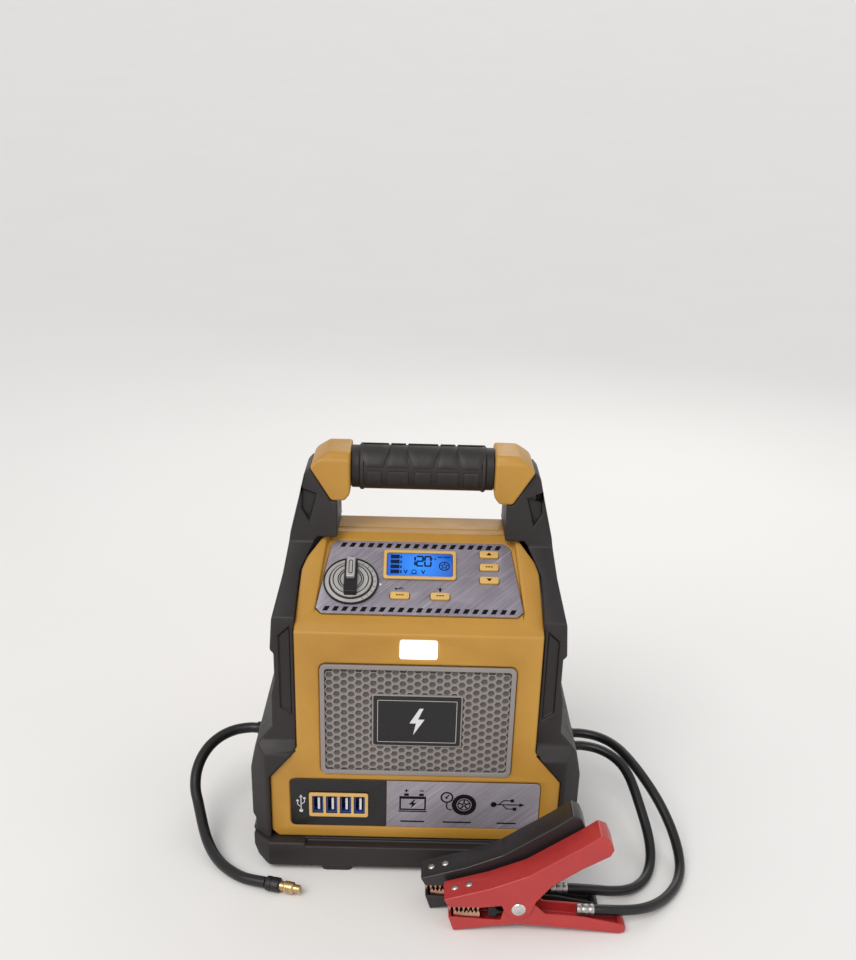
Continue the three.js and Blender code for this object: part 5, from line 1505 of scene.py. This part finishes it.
@dataclass
class Clamp:
    """A jumper clamp: dipped arms, riveted pin, coil spring, toothed jaws and cable crimp."""

    prefix: str
    cable: Cord

    def plane(self) -> Plane:
        """The clamp's own frame, with its pin at the origin and w towards the front."""
        low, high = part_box(self.prefix + "_pin")
        middle = (low + high) / 2
        return Plane(tuple(middle), (1, 0, 0), (0, 0, 1))

    def dome(self, name: str, body: str, plane: Plane, radius: float, rise: float) -> None:
        """A domed rivet head on a plane."""
        profile = [(radius, -0.0004), (radius, 0.0002)]
        profile += [(radius * math.cos(t), 0.0002 + rise * math.sin(t))
                    for t in (0.35, 0.7, 1.05, 1.35, 1.5)]
        Shape(plane).turned(profile, 32).done(name, body, "rivet_steel")

    def arms(self) -> None:
        """Both arms and both jaws, with rounded edges."""
        for part in ("upper_arm", "lower_arm"):
            softened(f"{self.prefix}_{part}", 0.0010, 4)
        for part in ("upper_jaw", "lower_jaw"):
            softened(f"{self.prefix}_{part}", 0.00025, 2)

    def pin(self) -> None:
        """The pin with a domed head at each end."""
        plane = self.plane()
        half = self.plane().box(self.prefix + "_pin")[1].z
        profile = [(0.0010, -half + 0.0001), (0.0030, -half), (0.0048, -half + 0.0005),
                   (0.0058, -half + 0.0015), (0.0040, -half + 0.0016), (0.0040, half - 0.0016),
                   (0.0058, half - 0.0015), (0.0048, half - 0.0005), (0.0030, half),
                   (0.0010, half - 0.0001)]
        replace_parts(Shape(plane).turned(profile, 40).done(self.prefix + "_pin_look", "pack",
                                                          "rivet_steel"), self.prefix + "_pin")

    def spring(self) -> None:
        """A coil of steel wire round the pin, with a leg against each arm, and its stop."""
        low, high = self.plane().box(self.prefix + "_spring")
        half, wire = high.z, 0.0011
        turns, count = 6, 20
        radius = 0.0056
        coil = [(radius * math.cos(math.tau * k / count), radius * math.sin(math.tau * k / count),
                 -half + wire + (2 * half - 2 * wire) * k / (turns * count))
                for k in range(turns * count + 1)]
        points = [(0.0150, 0.0015, coil[0][2]), *coil, (0.0145, -0.0040, coil[-1][2])]
        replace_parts(Shape(self.plane()).tube(points, wire).done(
            self.prefix + "_spring_look", "pack", "rivet_steel"), self.prefix + "_spring")
        Shape(self.plane()).slab(
            [(-0.0245, -0.0112), (-0.0185, -0.0118), (-0.0165, -0.0085), (-0.0105, -0.0068),
             (-0.0165, -0.0050), (-0.0190, -0.0012), (-0.0245, -0.0010)],
            -0.0075, 0.0075).done(self.prefix + "_spring_stop", "pack", "dial_black", 0.0006)

    def crimp(self) -> bpy.types.Object:
        """The steel sleeve that holds the cable's end in the clamp."""
        end = self.cable.points()[-1]
        plane = Plane(tuple(end), (0, 1, 0), (0, 0, 1))
        return Shape(plane).turned([
            (0.0040, -0.0110), (0.0047, -0.0106), (0.0050, -0.0080), (0.0046, -0.0068),
            (0.0050, -0.0056), (0.0050, -0.0020), (0.0046, -0.0010), (0.0050, 0.0002),
            (0.0050, 0.0026), (0.0047, 0.0032)], 28).done(
                self.prefix + "_crimp", "pack", "inner_metal")

    def rivets(self) -> None:
        """The two small rivets that hold each copper liner."""
        body = self.prefix + "_jaw_arm"
        plane = self.plane()
        for number, (x, z) in enumerate(((-0.0520, 0.0113), (-0.0405, 0.0149)), 1):
            slant = math.atan2(0.0116, 0.037)
            lean = Plane(tuple(Vector(plane.origin) + Vector((x, 0.0, z))),
                         (math.cos(slant), 0, math.sin(slant)), (0, 1, 0))
            self.dome(f"{self.prefix}_liner_rivet_{number}", body, lean, 0.0030, 0.0014)

    def build(self) -> list[bpy.types.Object]:
        """Makes the clamp and returns what sits on the cable itself."""
        self.arms()
        self.pin()
        self.spring()
        self.rivets()
        return [self.crimp()]


# ---------------------------------------------------------------- the whole


def main() -> None:
    """Builds everything in order and logs each piece."""
    logging.basicConfig(level=logging.INFO, format="%(name)s: %(message)s")
    Studio().build()
    cords = {cord.name: cord.build() for cord in (POSITIVE, NEGATIVE, HOSE)}
    ends = CordEnds()
    for node in ("positive_gland", "negative_gland", "hose_gland"):
        ends.gland(node)
    HOSE.declare(cords[HOSE.name], ends.fitting())
    for prefix, cord in (("positive", POSITIVE), ("negative", NEGATIVE)):
        cord.declare(cords[cord.name], Clamp(prefix, cord).build())
    for part in (Body(), Grip(), ControlPanel(), Grille(), FrontFace(), Inside()):
        LOG.info("building %s", type(part).__name__)
        part.build()


if __name__ == "__main__":
    main()
